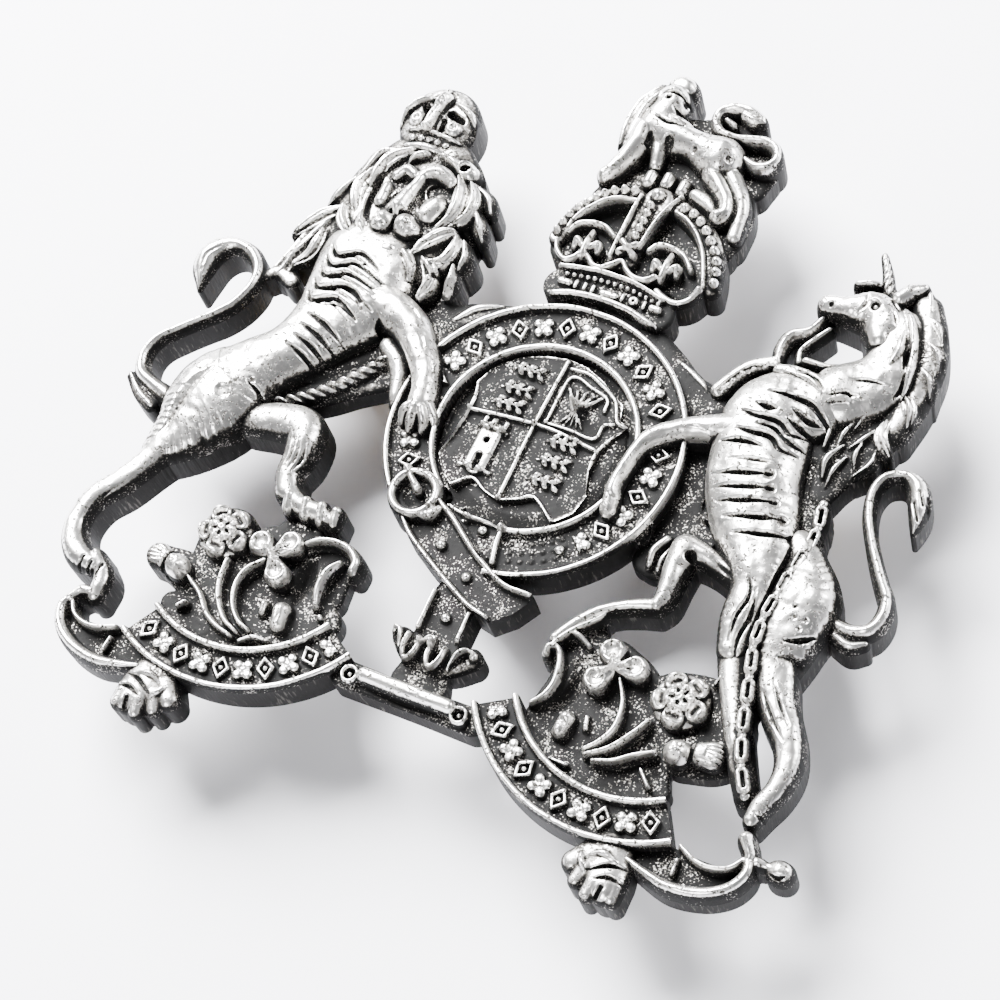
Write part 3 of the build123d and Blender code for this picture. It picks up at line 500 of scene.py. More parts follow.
        r.ridge([(-17.9, 4.2), (-17.0, 4.5), (-16.0, 4.2), (-15.3, 3.9)], 0.4, -0.45)
        for x, y in ((-18.7, 3.3), (-18.8, 2.4), (-18.8, 1.5), (-19.0, 0.7)):
            r.ridge([(x, y), (x + 1.5, y - 0.45), (x + 3.1, y - 1.2)], 0.5, -0.6)
        r.bead(-13.6, 4.3, 0.55, -0.9)
        for x, y in ((-13.9, 5.4), (-12.6, 5.4), (-16.6, 7.9)):
            r.bead(x, y, 0.16, -0.25)
        r.bead(-21.3, -4.2, 0.5, -0.22)
        r.bead(-20.0, -2.6, 0.2, -0.2)
        r.ridge([(-20.2, -2.8), (-19.2, -3.3), (-18.9, -4.4), (-19.5, -5.5), (-20.0, -7.0), (-20.9, -8.4)],
                0.55, -0.9)
        r.ridge([(-19.3, -3.1), (-18.6, -3.6), (-18.5, -4.4)], 0.4, 0.35)
        r.ridge([(-19.4, -5.5), (-19.3, -6.6), (-19.8, -7.6)], 0.45, 0.5)
        r.ridge([(-24.2, -7.2), (-24.4, -8.4), (-24.6, -9.6)], 0.3, -0.3)
        for points in (
            [(-22.8, -2.8), (-23.6, -4.4), (-24.0, -6.4), (-24.0, -8.0)],
            [(-21.9, -6.9), (-21.2, -8.2), (-21.8, -9.6)],
            [(-17.4, -0.2), (-17.9, -1.6), (-18.4, -2.9)],
        ):
            r.ridge(points, 1.0, -0.35)
        return r

    def belly(self) -> Relief:
        """The rope-like fringe of fur below the belly, on a low web."""
        r = Relief(1.5, (-0.5, 0.5))
        r.limb([(-11.4, 1.0, 1.3, 1.9), (-13.2, -0.4, 1.1, 1.9), (-15.0, -1.9, 1.0, 1.9),
                (-17.4, -3.2, 1.0, 1.9)], round_=4)
        r.limb([(-12.6, 3.0, 1.3, 1.9), (-14.2, 1.8, 1.4, 1.9), (-16.0, 0.2, 1.4, 1.9),
                (-16.8, -0.8, 0.9, 1.9)], round_=4)
        r.shift = (-0.1, 0.1)
        r.limb(
            [(-12.2, 2.0, 0.6, 2.7), (-13.2, 0.6, 0.5, 2.8), (-14.6, -1.0, 0.5, 2.8), (-16.2, -2.4, 0.5, 2.8),
             (-17.7, -3.4, 0.5, 2.8)],
            rings=0.75, depth=0.5, edge=1.7,
        )
        return r

    def foreleg(self) -> Relief:
        """The raised foreleg that rests its claws on the belt."""
        r = Relief(2.6, (0.1, -0.1))
        r.limb(
            [(-14.2, 5.9, 1.5, 4.2), (-12.0, 5.0, 1.4, 4.3), (-10.6, 3.9, 1.25, 4.3), (-9.3, 2.4, 1.1, 4.2),
             (-8.5, 0.8, 0.95, 4.1),
             (-8.2, -0.4, 1.0, 4.0)], round_=2.2,
        )
        for tip in ((-8.9, -2.0), (-8.2, -2.4), (-7.4, -2.1)):
            r.limb([(0.5 * (tip[0] - 8.1), -0.9, 0.5, 4.1), (tip[0], tip[1] + 0.6, 0.42, 3.9),
                    (tip[0], tip[1], 0.2, 3.2)], blend=0.0)
        r.limb([(-7.6, -0.4, 0.5, 3.8), (-7.0, -1.0, 0.38, 3.5), (-6.8, -1.4, 0.2, 3.1)], blend=0.0)
        r.shift = self.surface
        for points in (
            [(-12.9, 6.3), (-11.8, 5.9), (-10.6, 5.0)],
            [(-11.4, 4.8), (-10.4, 4.2), (-9.7, 3.3)],
            [(-9.7, 3.6), (-8.9, 2.6), (-8.3, 1.4)],
        ):
            r.ridge(points, 0.25, -0.22)
        return r

    def far_foreleg(self) -> Relief:
        """The second foreleg, low behind the first."""
        r = Relief(1.9, (-0.2, 0.2))
        r.limb([(-12.4, 2.9, 0.7, 2.9), (-11.2, 2.0, 0.75, 3.0), (-10.5, 0.9, 0.7, 3.0),
                (-10.1, -0.4, 0.6, 2.9), (-10.0, -1.0, 0.4, 2.6)])
        return r

    def hind_leg(self) -> Relief:
        """The outer hind leg, down to the paw that stands on the scroll's fold."""
        r = Relief(2.1, (-0.3, 0.3))
        r.limb(
            [(-23.2, -8.8, 1.4, 3.6), (-23.9, -10.8, 1.0, 3.4), (-24.9, -12.8, 0.95, 3.4),
             (-26.0, -14.4, 0.9, 3.4),
             (-26.3, -16.2, 0.85, 3.4), (-25.9, -17.6, 0.95, 3.5), (-24.9, -18.6, 1.0, 3.6),
             (-23.7, -18.9, 0.75, 3.4)], round_=2.3,
        )
        r.limb([(-23.6, -18.2, 0.5, 3.3), (-22.6, -19.4, 0.7, 3.1), (-22.4, -20.8, 0.6, 3.0)])
        r.shift = (0.1, -0.1)
        for x, y in ((-24.6, -19.2), (-24.0, -19.3), (-23.3, -19.2)):
            r.ridge([(x, y), (x + 0.15, y + 0.8)], 0.2, -0.4)
        r.ridge([(-24.6, -12.4), (-25.8, -14.2), (-26.0, -15.8)], 0.22, -0.2)
        return r

    def near_leg(self) -> Relief:
        """The inner hind leg, bent forward over the flowers, with a furred thigh."""
        r = Relief(2.0, (-0.3, 0.3))
        r.limb([(-18.6, -5.4, 1.2, 3.2), (-16.6, -4.9, 1.4, 3.5), (-14.7, -4.9, 1.45, 3.7),
                (-14.1, -6.6, 1.25, 3.6), (-14.2, -8.2, 1.0, 3.3), (-13.7, -9.4, 0.95, 3.2)])
        r.limb([(-13.7, -9.4, 0.9, 3.1), (-12.4, -10.0, 0.75, 3.1), (-11.0, -10.1, 0.7, 3.1),
                (-9.9, -10.3, 0.6, 2.9)])
        for x in (-13.2, -11.9, -10.7, -9.6):
            r.limb([(x, -9.8, 0.5, 3.3), (x + 0.15, -10.6, 0.42, 3.1)], blend=0.0)
        r.shift = (0.1, -0.1)
        for k in range(4):
            r.ridge([(-15.0 + 0.45 * k, -5.6), (-14.7 + 0.4 * k, -6.8), (-14.8 + 0.3 * k, -7.8)], 0.25, -0.3)
        return r

    def tail(self) -> Relief:
        """The tail: an S that rises behind the back and ends in a hooked tuft."""
        r = Relief(2.1, (-0.35, 0.35))
        r.limb(
            [(-25.0, -5.9, 0.8, 3.0), (-26.4, -5.5, 0.62, 3.1), (-27.7, -4.9, 0.6, 3.1),
             (-28.2, -3.6, 0.55, 3.1),
             (-27.9, -2.3, 0.5, 3.1), (-26.9, -1.1, 0.48, 3.1), (-25.8, 0.0, 0.46, 3.1), (-24.7, 1.1, 0.48,
                                                                                          3.1),
             (-23.9, 2.4, 0.5, 3.1), (-23.5, 3.9, 0.5, 3.1), (-23.8, 5.2, 0.55, 3.1), (-24.7, 6.1, 0.6, 3.1),
             (-25.8, 6.4, 0.6, 3.1), (-26.9, 6.1, 0.85, 3.2), (-27.6, 5.2, 0.98, 3.3),
             (-27.7, 4.1, 0.9, 3.2), (-27.4, 3.1, 0.5, 2.9), (-27.2, 2.4, 0.22, 2.5)],
            strands=1.0, depth=0.15,
        )
        r.limb([(-28.4, -5.3, 0.4, 2.6), (-27.2, -6.3, 0.5, 2.8), (-26.0, -6.9, 0.5, 2.7)], strands=2)
        r.limb([(-23.4, 4.8, 0.4, 2.4), (-22.4, 5.6, 0.5, 2.5), (-21.2, 5.2, 0.6, 2.5)], blend=0.1)
        r.shift = (-0.1, 0.1)
        r.ridge([(-27.2, 6.0), (-27.8, 5.0), (-27.7, 3.8)], 0.2, -0.25)
        return r

    def pieces(self) -> list[tuple[str, Relief, tuple[str, ...]]]:
        """Each piece's name, its relief and the solids that it stands for."""
        return [
            ("lion_coronet", self.coronet(), ("lion_coronet",)),
            ("lion_head", self.head(), ("lion_head",)),
            ("lion_mane", self.mane(), ("lion_mane",)),
            ("lion_torso", self.torso(), ("lion_torso",)),
            ("lion_belly", self.belly(), ("web_belly",)),
            ("lion_foreleg", self.foreleg(), ("lion_foreleg",)),
            ("lion_far_foreleg", self.far_foreleg(), ()),
            ("lion_hind_leg", self.hind_leg(), ("lion_hind_leg",)),
            ("lion_near_leg", self.near_leg(), ("lion_near_leg",)),
            ("lion_tail", self.tail(), ("lion_tail",)),
        ]


@dataclass(frozen=True)
class Unicorn:
    """The unicorn on the right: head, broken horn, mane, body, legs, tail and the chain down its back."""

    surface: tuple[float, float] = (0.4, -0.4)
    outline: tuple[float, float] = (-0.35, 0.35)

    def horn(self) -> Relief:
        """The stump of the horn, with its twist."""
        r = Relief(2.2, (-0.2, 0.2))
        r.limb([(18.3, 17.1, 0.6, 3.2), (17.7, 17.7, 0.5, 3.2), (17.2, 18.8, 0.4, 3.1),
                (16.5, 20.0, 0.28, 2.9)], rings=0.55, depth=0.2)
        return r

    def head(self) -> Relief:
        """The head: muzzle, cheek, ear and forelock."""
        r = Relief(2.2, (-0.1, 0.1))
        r.limb([(14.5, 15.2, 0.85, 3.7), (15.8, 15.3, 1.0, 4.0), (17.6, 15.6, 1.6, 4.2),
                (18.6, 14.8, 1.5, 4.3)], round_=2.4)
        r.limb([(18.4, 14.3, 1.3, 4.3), (18.7, 13.6, 1.0, 4.2)])
        r.limb([(15.7, 17.4, 0.42, 3.2), (16.4, 17.6, 0.45, 3.4), (17.0, 17.7, 0.4, 3.3)], strands=1)
        r.limb([(18.7, 17.0, 0.7, 3.9), (19.2, 17.8, 0.75, 3.7), (19.8, 18.4, 0.5, 3.3)])
        r.shift = self.surface
        r.ridge([(13.8, 15.0), (14.6, 14.9), (15.6, 15.0)], 0.22, -0.5)
        r.bead(14.3, 15.5, 0.2, -0.35)
        r.bead(17.2, 16.0, 0.34, -0.45)
        r.bead(17.2, 16.0, 0.16, 0.35)
        r.ridge([(16.6, 16.3), (17.1, 16.5), (17.7, 16.2)], 0.25, 0.25)
        r.ridge([(16.4, 16.8), (16.5, 16.0), (16.2, 15.3)], 0.3, -0.3)
        r.ridge([(18.2, 16.4), (18.7, 15.6), (19.2, 15.0)], 0.35, -0.3)
        r.ridge([(17.9, 17.0), (18.6, 16.4)], 0.3, -0.35)
        r.ridge([(19.0, 14.9), (19.1, 14.2), (18.6, 13.5), (17.7, 13.3)], 0.3, -0.3)
        r.ridge([(19.2, 17.9), (19.7, 17.6)], 0.4, -0.6)
        return r

    def beard(self) -> Relief:
        """The beard and the beaded collar that falls from it to the belt."""
        r = Relief(1.9, self.outline)
        r.limb([(14.7, 13.9, 0.45, 3.1), (14.2, 12.9, 0.5, 3.1), (13.2, 12.3, 0.6, 3.0),
                (12.9, 11.3, 0.55, 2.9), (13.0, 10.4, 0.5, 2.8)], strands=2)
        r.limb([(15.4, 13.4, 0.35, 2.9), (14.7, 12.3, 0.4, 2.9), (14.2, 11.4, 0.35, 2.8),
                (14.4, 10.6, 0.4, 2.8)], strands=1)
        r.limb([(12.9, 10.0, 0.6, 2.8), (11.7, 9.3, 0.62, 2.8), (10.9, 8.2, 0.62, 2.8),
                (10.3, 7.0, 0.6, 2.8)], round_=4)
        r.limb([(14.9, 10.7, 0.4, 3.1), (16.2, 10.7, 0.4, 3.1), (17.0, 10.9, 0.4, 3.1)])
        r.shift = (-0.1, 0.1)
        r.ridge([(13.1, 10.0), (11.6, 9.6), (10.6, 8.4), (9.9, 7.0)], 0.2, 0.3, taper=False)
        r.ridge([(13.1, 9.4), (12.2, 8.9), (11.3, 7.8), (10.8, 6.8)], 0.2, 0.3, taper=False)
        r.beads([(12.4, 9.6), (11.3, 8.8), (10.5, 7.3)], 0.24, 0.35, 0.7)
        return r

    def neck(self) -> Relief:
        """The neck, bowed back under the mane, with two ridges along it and a collar of fur at its foot."""
        r = Relief(2.2, (-0.2, 0.2))
        r.limb([(19.7, 14.8, 1.7, 3.9), (20.1, 12.5, 2.0, 4.0), (19.6, 10.6, 2.3, 4.1),
                (17.9, 9.2, 2.4, 4.2)], round_=2.5)
        r.limb([(13.6, 9.4, 0.6, 3.8), (15.0, 9.3, 0.9, 4.0), (16.8, 8.8, 1.2, 4.2)], round_=2.5)
        r.shift = self.surface
        r.ridge([(18.7, 17.0), (19.7, 15.9), (20.4, 14.6), (20.9, 13.0), (21.1, 11.4), (21.1, 10.2)], 0.6,
                0.6)
        r.ridge([(19.6, 14.9), (19.8, 13.6), (19.6, 12.4)], 0.6, 0.5)
        r.ridge([(20.4, 14.2), (20.4, 13.2), (20.5, 12.4)], 0.5, -0.6)
        r.ridge([(20.7, 12.2), (20.8, 11.2), (20.6, 10.4)], 0.35, -0.5)
        r.ridge([(17.6, 10.5), (18.8, 10.8), (20.2, 11.0)], 0.3, -0.35)
        for points in (
            [(13.2, 9.8), (14.6, 9.4), (15.6, 8.7), (16.2, 8.2)],
            [(14.0, 10.2), (15.4, 9.9), (16.4, 9.2)],
            [(16.2, 8.4), (17.3, 9.2), (18.6, 9.6)],
            [(17.0, 9.0), (17.8, 9.5), (18.2, 9.3)],
        ):
            r.ridge(points, 0.4, -0.55)
            r.ridge([(x + 0.05, y - 0.35) for x, y in points], 0.3, 0.3)
        return r

    def mane(self) -> Relief:
        """The mane: a row of short locks down the back of the neck."""
        r = Relief(2.0, self.outline, ground=2.8)
        r.limb([(20.7, 17.0, 1.1, 3.2), (21.6, 15.2, 1.2, 3.3), (22.2, 13.0, 1.3, 3.3),
                (22.2, 10.4, 1.3, 3.2), (21.9, 8.0, 1.2, 3.0)])
        r.limb([(21.4, 7.2, 1.2, 2.7), (20.4, 5.8, 1.5, 2.6), (19.5, 4.0, 1.3, 2.5), (19.3, 2.4, 0.9, 2.4)],
               round_=3)
        r.limb([(20.4, 9.2, 1.3, 2.7), (19.4, 7.4, 1.4, 2.6), (18.2, 5.4, 1.4, 2.5)], round_=3)
        locks: list[tuple[Points, float]] = [
            ([(20.4, 18.0, 0.4, 3.2), (20.8, 17.0, 0.5, 3.3), (21.2, 16.1, 0.3, 3.0)], 1),
            ([(20.9, 16.4, 0.3, 3.2), (21.8, 15.8, 0.6, 3.5), (22.5, 14.7, 0.3, 3.0)], 2),
            ([(21.5, 14.6, 0.35, 3.3), (22.4, 14.0, 0.65, 3.6), (22.9, 12.9, 0.35, 3.0)], 2),
            ([(21.8, 12.7, 0.35, 3.3), (22.6, 12.1, 0.6, 3.5), (23.1, 11.0, 0.3, 3.0)], 2),
            ([(21.5, 10.6, 0.3, 3.3), (22.2, 9.8, 0.65, 3.6), (22.5, 8.7, 0.4, 3.1)], 3),
            ([(21.2, 8.4, 0.35, 3.3), (21.3, 7.2, 0.6, 3.5), (22.2, 6.3, 0.3, 3.0)], 3),
            ([(20.3, 6.6, 0.3, 3.0), (20.2, 5.6, 0.5, 3.1), (20.5, 4.7, 0.25, 2.8)], 2),
            ([(19.7, 5.3, 0.25, 2.9), (19.3, 4.3, 0.4, 3.0), (19.2, 3.1, 0.2, 2.6)], 1),
            ([(20.4, 9.8, 0.3, 3.1), (19.9, 8.6, 0.55, 3.4), (19.5, 7.4, 0.3, 3.0)], 2),
            ([(19.6, 8.2, 0.3, 3.0), (19.0, 7.0, 0.5, 3.2), (18.9, 5.8, 0.3, 2.9)], 2),
            ([(20.8, 7.8, 0.3, 3.0), (20.3, 6.9, 0.45, 3.2), (19.7, 6.1, 0.3, 2.9)], 2),
            ([(19.2, 6.0, 0.3, 2.9), (18.6, 4.8, 0.45, 3.1), (18.8, 3.6, 0.25, 2.8)], 1),
            ([(21.3, 6.4, 0.3, 2.9), (21.3, 5.4, 0.45, 3.0), (20.6, 4.3, 0.25, 2.8)], 2),
            ([(18.6, 8.2, 0.3, 3.1), (18.1, 7.0, 0.45, 3.2), (18.1, 5.6, 0.25, 2.9)], 1),
        ]
        r.shift = (-0.1, 0.1)
        for points, strands in locks:
            r.limb(points, strands=strands, depth=0.28, blend=0.0, edge=2.2)
        return r

    def torso(self) -> Relief:
        """Chest fur, ribs and back."""
        r = Relief(2.1, (-0.35, 0.35))
        r.limb([(16.6, 7.6, 2.4, 4.2), (14.5, 6.2, 3.2, 4.4), (14.9, 2.4, 3.2, 4.5), (15.9, -0.2, 3.0, 4.5),
                (17.5, -2.8, 2.5, 4.4)], round_=2.5)
        r.limb([(17.5, -2.8, 2.4, 4.4), (18.2, -5.2, 1.7, 4.2), (18.1, -7.4, 1.4, 3.8),
                (18.4, -9.4, 1.1, 3.4)], round_=2.5)
        r.shift = self.surface
        waves: list[Points] = [
            [(13.2, 8.0), (14.6, 8.1), (16.0, 8.0), (17.2, 7.3), (17.9, 6.8)],
            [(12.8, 6.9), (13.6, 6.8), (14.2, 6.9)],
            [(15.1, 7.3), (16.2, 6.9), (17.2, 7.0)],
            [(12.1, 6.2), (13.2, 6.0), (14.6, 6.1), (15.6, 5.6), (16.8, 6.0)],
            [(15.0, 6.6), (16.0, 6.2), (16.9, 6.1)],
            [(12.2, 4.9), (13.2, 4.8), (14.6, 4.9), (15.4, 4.3), (16.6, 4.4)],
            [(13.4, 5.5), (14.6, 5.6), (15.8, 5.0), (16.8, 5.0)],
            [(11.6, 3.8), (13.0, 4.0), (14.4, 4.1)],
        ]
        for points in waves:
            r.ridge(points, 0.55, -0.75)
        for x, y in ((12.0, 1.5), (12.4, 0.6), (13.0, -0.2), (13.9, -1.1), (14.9, -2.0)):
            r.ridge([(x, y), (x + 2.0, y + 0.45), (x + 3.7, y + 1.0)], 0.5, -0.65)
            r.bead(x + 3.6, y + 0.9, 0.35, -0.3)
        r.ridge([(12.6, 2.6), (14.5, 3.0), (16.0, 3.2)], 0.35, -0.35)
        r.ridge([(17.8, 6.4), (17.6, 4.6), (17.9, 2.6), (18.6, 0.6), (18.9, -1.6), (18.7, -4.2),
                 (18.6, -6.4)], 0.8, -0.8)
        r.ridge([(17.0, -4.2), (17.6, -5.6), (17.3, -7.0), (17.4, -8.6)], 0.35, -0.5)
        r.ridge([(17.8, -5.0), (18.1, -6.6), (17.9, -8.2), (18.2, -9.8)], 0.35, -0.5)
        return r

    def haunch(self) -> Relief:
        """The rounded haunch beside the chain."""
        r = Relief(2.1, (-0.3, 0.3))
        r.limb([(18.2, 4.2, 0.8, 2.2), (18.4, 2.4, 1.0, 2.2), (18.8, 0.4, 1.1, 2.2)], round_=4)
        r.limb([(19.6, -1.6, 1.2, 3.6), (20.6, -2.9, 1.5, 3.9), (21.3, -5.0, 2.3, 4.5),
                (21.2, -7.2, 2.2, 4.2), (21.2, -9.6, 1.7, 3.6)], round_=2.3)
        r.shift = self.surface
        r.ridge([(20.7, -7.6), (21.6, -7.2), (22.3, -6.6)], 0.5, -0.6)
        r.ridge([(20.8, -8.6), (21.6, -8.6), (22.3, -8.2)], 1.1, -0.7)
        for x, y in ((20.8, -6.0), (21.3, -6.6), (21.5, -6.0), (20.6, -5.4)):
            r.bead(x, y, 0.16, -0.2)
        return r

    def hind_leg(self) -> Relief:
        """The outer hind leg, with three long grooves, down to the scroll's fold."""
        r = Relief(2.1, (-0.3, 0.3))
        r.limb(
            [(21.3, -9.8, 1.5, 3.6), (22.4, -11.8, 1.3, 3.7), (23.8, -13.6, 1.1, 3.6),
             (24.5, -15.2, 0.95, 3.5),
             (24.5, -16.8, 0.8, 3.4), (24.0, -18.2, 0.75, 3.3), (23.8, -19.2, 0.6, 3.1)], round_=2.3,
        )
        r.shift = (0.1, -0.1)
        r.ridge([(21.4, -10.4), (22.4, -11.8), (23.4, -12.8)], 0.28, -0.4)
        r.ridge([(21.0, -11.2), (22.0, -12.4), (23.4, -13.8)], 0.28, -0.4)
        r.ridge([(23.4, -18.4), (24.0, -18.6), (24.6, -18.3)], 0.25, -0.4)
        return r

    def far_leg(self) -> Relief:
        """The other hind leg, low beside the first, under the chain's end."""
        r = Relief(1.9, (-0.3, 0.3))
        r.limb([(18.5, -9.4, 1.2, 3.0), (19.2, -11.4, 0.95, 2.9), (20.4, -13.6, 0.95, 2.9),
                (21.6, -15.8, 0.9, 2.9), (22.8, -17.8, 0.8, 2.9)])
        return r

    def chain(self) -> Relief:
        """The chain: flat oval links end to end down the back, with a pinhole in each."""
        r = Relief(2.3, (0.1, -0.1))
        route: Points = [
            (19.5, 1.9), (19.9, 0.1), (19.9, -1.6), (19.7, -3.4), (19.5, -5.2), (19.3, -7.0), (19.4, -8.8),
            (19.9, -10.6),
            (20.4, -12.4), (20.9, -14.2), (21.6, -16.0), (22.5, -17.6),
        ]
        tops = [3.1, 3.3, 3.8, 4.1, 4.2, 4.1, 3.9, 3.6, 3.5, 3.4, 3.3, 3.2]
        r.limb([(x, y, 0.42, top - 0.15) for (x, y), top in zip(route, tops)], round_=4)
        for (x, y), (x2, y2), top in zip(route, route[1:], tops):
            mx, my = x + 0.3 * (x2 - x), y + 0.3 * (y2 - y)
            nx, ny = x + 0.75 * (x2 - x), y + 0.75 * (y2 - y)
            r.limb([(mx, my, 0.52, top + 0.35), (nx, ny, 0.52, top + 0.3)], round_=3, blend=0.0)
            r.ridge([(mx, my), (nx, ny)], 0.42, -0.9, taper=False)
            r.bead(x, y, 0.3, 0.25)
        return r

    def upper_foreleg(self) -> Relief:
        """The foreleg that reaches over the belt, with its hoof."""
        r = Relief(2.6, (0.0, 0.0))
        r.limb([(12.8, 5.0, 1.2, 4.2), (10.8, 4.4, 0.95, 4.0), (9.0, 3.6, 0.8, 3.9), (7.5, 2.4, 0.72, 3.9),
                (6.9, 1.2, 0.55, 3.8), (6.7, -0.2, 0.5, 3.8)])
        r.limb([(6.7, -0.2, 0.48, 3.8), (6.6, -1.5, 0.52, 3.8), (6.8, -2.4, 0.6, 3.8), (6.9, -3.2, 0.6, 3.7)])
        r.shift = self.surface
        r.ridge([(6.1, -2.0), (6.6, -2.1), (7.2, -2.0)], 0.25, -0.35)
        r.bead(6.6, -0.7, 0.18, -0.2)
        r.ridge([(9.2, 4.1), (9.9, 4.3), (10.6, 4.2)], 0.22, -0.25)
        r.ridge([(7.1, 1.6), (7.1, 1.0)], 0.2, -0.2)
        return r

    def lower_foreleg(self) -> Relief:
        """The bent foreleg below the belly, down to the right-hand scroll."""
        r = Relief(2.0, (-0.25, 0.25))
        r.limb([(16.9, -5.0, 0.8, 3.3), (15.4, -4.5, 0.75, 3.3), (14.0, -4.2, 0.85, 3.5),
                (12.9, -4.2, 1.1, 3.7)])
        r.limb([(12.9, -4.2, 1.1, 3.7), (12.9, -6.0, 0.95, 3.6), (13.0, -7.6, 0.8, 3.5),
                (12.8, -8.4, 0.6, 3.3)])
        r.limb([(12.8, -8.4, 0.6, 3.2), (11.4, -8.9, 0.52, 3.2), (10.2, -9.5, 0.45, 3.1),
                (9.2, -10.3, 0.48, 3.1), (8.2, -11.6, 0.5, 3.0), (7.6, -12.6, 0.45, 2.9)])
        r.shift = (0.2, -0.2)
        r.bead(13.1, -4.3, 0.4, -0.5)
        r.ridge([(13.2, -5.2), (13.2, -6.6), (13.1, -7.8)], 0.35, -0.45)
        r.ridge([(14.4, -3.9), (15.4, -4.4), (16.4, -4.8)], 0.35, -0.35)
        r.ridge([(10.1, -9.2), (10.3, -9.9)], 0.2, -0.25)
        return r

    def tail(self) -> Relief:
        """The tail: an S ending in a drooping tuft, with a lump of hair at its root."""
        r = Relief(2.1, (-0.3, 0.3))
        r.limb(
            [(23.4, -5.7, 0.7, 3.0), (24.6, -5.8, 0.6, 3.1), (25.7, -5.4, 0.62, 3.2), (26.1, -4.3, 0.6, 3.2),
             (25.9, -3.1, 0.55, 3.2),
             (25.1, -2.0, 0.5, 3.2), (24.2, -0.7, 0.48, 3.2), (23.4, 0.6, 0.46, 3.2),
             (22.7, 2.0, 0.46, 3.2), (22.4, 3.5, 0.46, 3.2),
             (22.8, 4.7, 0.46, 3.2), (23.9, 5.2, 0.5, 3.2), (24.9, 4.7, 0.75, 3.3), (25.4, 3.6, 0.75, 3.3),
             (25.6, 2.6, 0.5, 3.0),
             (25.7, 1.8, 0.2, 2.5)], strands=1.0, depth=0.15,
        )
        r.limb([(23.9, -6.4, 0.5, 2.9), (24.9, -6.7, 0.5, 2.9), (25.7, -6.3, 0.4, 2.7)], strands=1)
        r.shift = (0.0, 0.0)
        for points in ([(24.9, 4.6), (25.4, 3.8)], [(25.5, 4.4), (25.8, 3.4)], [(24.8, 3.8), (25.4, 2.8)]):
            r.ridge(points, 0.25, -0.35)
        r.ridge([(24.9, -3.0), (25.3, -2.9), (26.0, -2.8)], 0.15, -0.3)
        return r

    def pieces(self) -> list[tuple[str, Relief, tuple[str, ...]]]:
        """Each piece's name, its relief and the solids that it stands for."""
        return [
            ("unicorn_horn", self.horn(), ("unicorn_horn",)),
            ("unicorn_head", self.head(), ("unicorn_head",)),
            ("unicorn_beard", self.beard(), ("unicorn_beard",)),
            ("unicorn_neck", self.neck(), ("unicorn_neck",)),
            ("unicorn_mane", self.mane(), ("unicorn_mane",)),
            ("unicorn_torso", self.torso(), ("unicorn_torso",)),
            ("unicorn_haunch", self.haunch(), ("unicorn_haunch",)),
            ("unicorn_hind_leg", self.hind_leg(), ("unicorn_hind_leg",)),
            ("unicorn_far_leg", self.far_leg(), ("unicorn_far_leg",)),
            ("unicorn_chain", self.chain(), ("unicorn_chain",)),
            ("unicorn_upper_foreleg", self.upper_foreleg(), ("unicorn_upper_foreleg",)),
            ("unicorn_lower_foreleg", self.lower_foreleg(), ("unicorn_lower_foreleg",)),
            ("unicorn_tail", self.tail(), ("unicorn_tail",)),
        ]


def polygon_inside(corners: Points) -> np.ndarray:
    """How far each grid point lies inside a closed polygon, in mm, negative outside it.

    Formula: the distance to the nearest side, with its sign from the count of sides crossed by a ray along
    +X.

    Args:
        corners: the polygon's corners in order.

    Returns:
        The signed distance over the grid.
    """
    x, y = np.meshgrid(XS, YS)
    nearest = np.full(x.shape, 1e9)
    crossed = np.zeros(x.shape, bool)
    for (ax, ay), (bx, by) in zip(corners, corners[1:] + corners[:1]):
        ux, uy = bx - ax, by - ay
        f = np.clip(((x - ax) * ux + (y - ay) * uy) / (ux * ux + uy * uy), 0, 1)
        nearest = np.minimum(nearest, np.hypot(x - ax - f * ux, y - ay - f * uy))
        spans = (ay > y) != (by > y)
        crossed ^= spans & (x < ax + (y - ay) * ux / (uy if uy else 1e-9))
    return np.where(crossed, nearest, -nearest)


def ornament(along: np.ndarray, across: np.ndarray, pitch: float) -> np.ndarray:
    """A plain running ornament for a band: four-petalled flowers between hollow lozenges.

    Formula: along is folded to one cell of twice the pitch; petals are four round domes about the cell's
    middle and the lozenge is where |a| / 0.62 + |c| / 0.8 is near 0.8, half a cell further on.

    Args:
        along: distance along the band in mm.
        across: distance from the band's middle line in mm.
        pitch: spacing of the motifs in mm.

    Returns:
        How high the ornament stands, from 0 to 1.
    """
    a = (along + pitch) % (2 * pitch) - pitch
    petals = np.zeros_like(a)
    for turn in range(4):
        angle = math.pi / 4 + turn * math.pi / 2
        u = np.hypot(a - 0.46 * math.cos(angle), across - 0.46 * math.sin(angle)) / 0.36
        petals = np.maximum(petals, np.sqrt(np.clip(1 - u**4, 0, 1)))
    petals = np.maximum(petals, np.sqrt(np.clip(1 - (np.hypot(a, across) / 0.24) ** 2, 0, 1)))
    b = (along % (2 * pitch)) - pitch
    lozenge = 1 - np.clip(np.abs((np.abs(b) / 0.62 + np.abs(across) / 0.85) - 0.8) / 0.26, 0, 1) ** 3
    pellet = np.sqrt(np.clip(1 - (np.hypot(b, across) / 0.2) ** 2, 0, 1))
    return np.clip(np.maximum.reduce([petals, lozenge, pellet]), 0, 1)


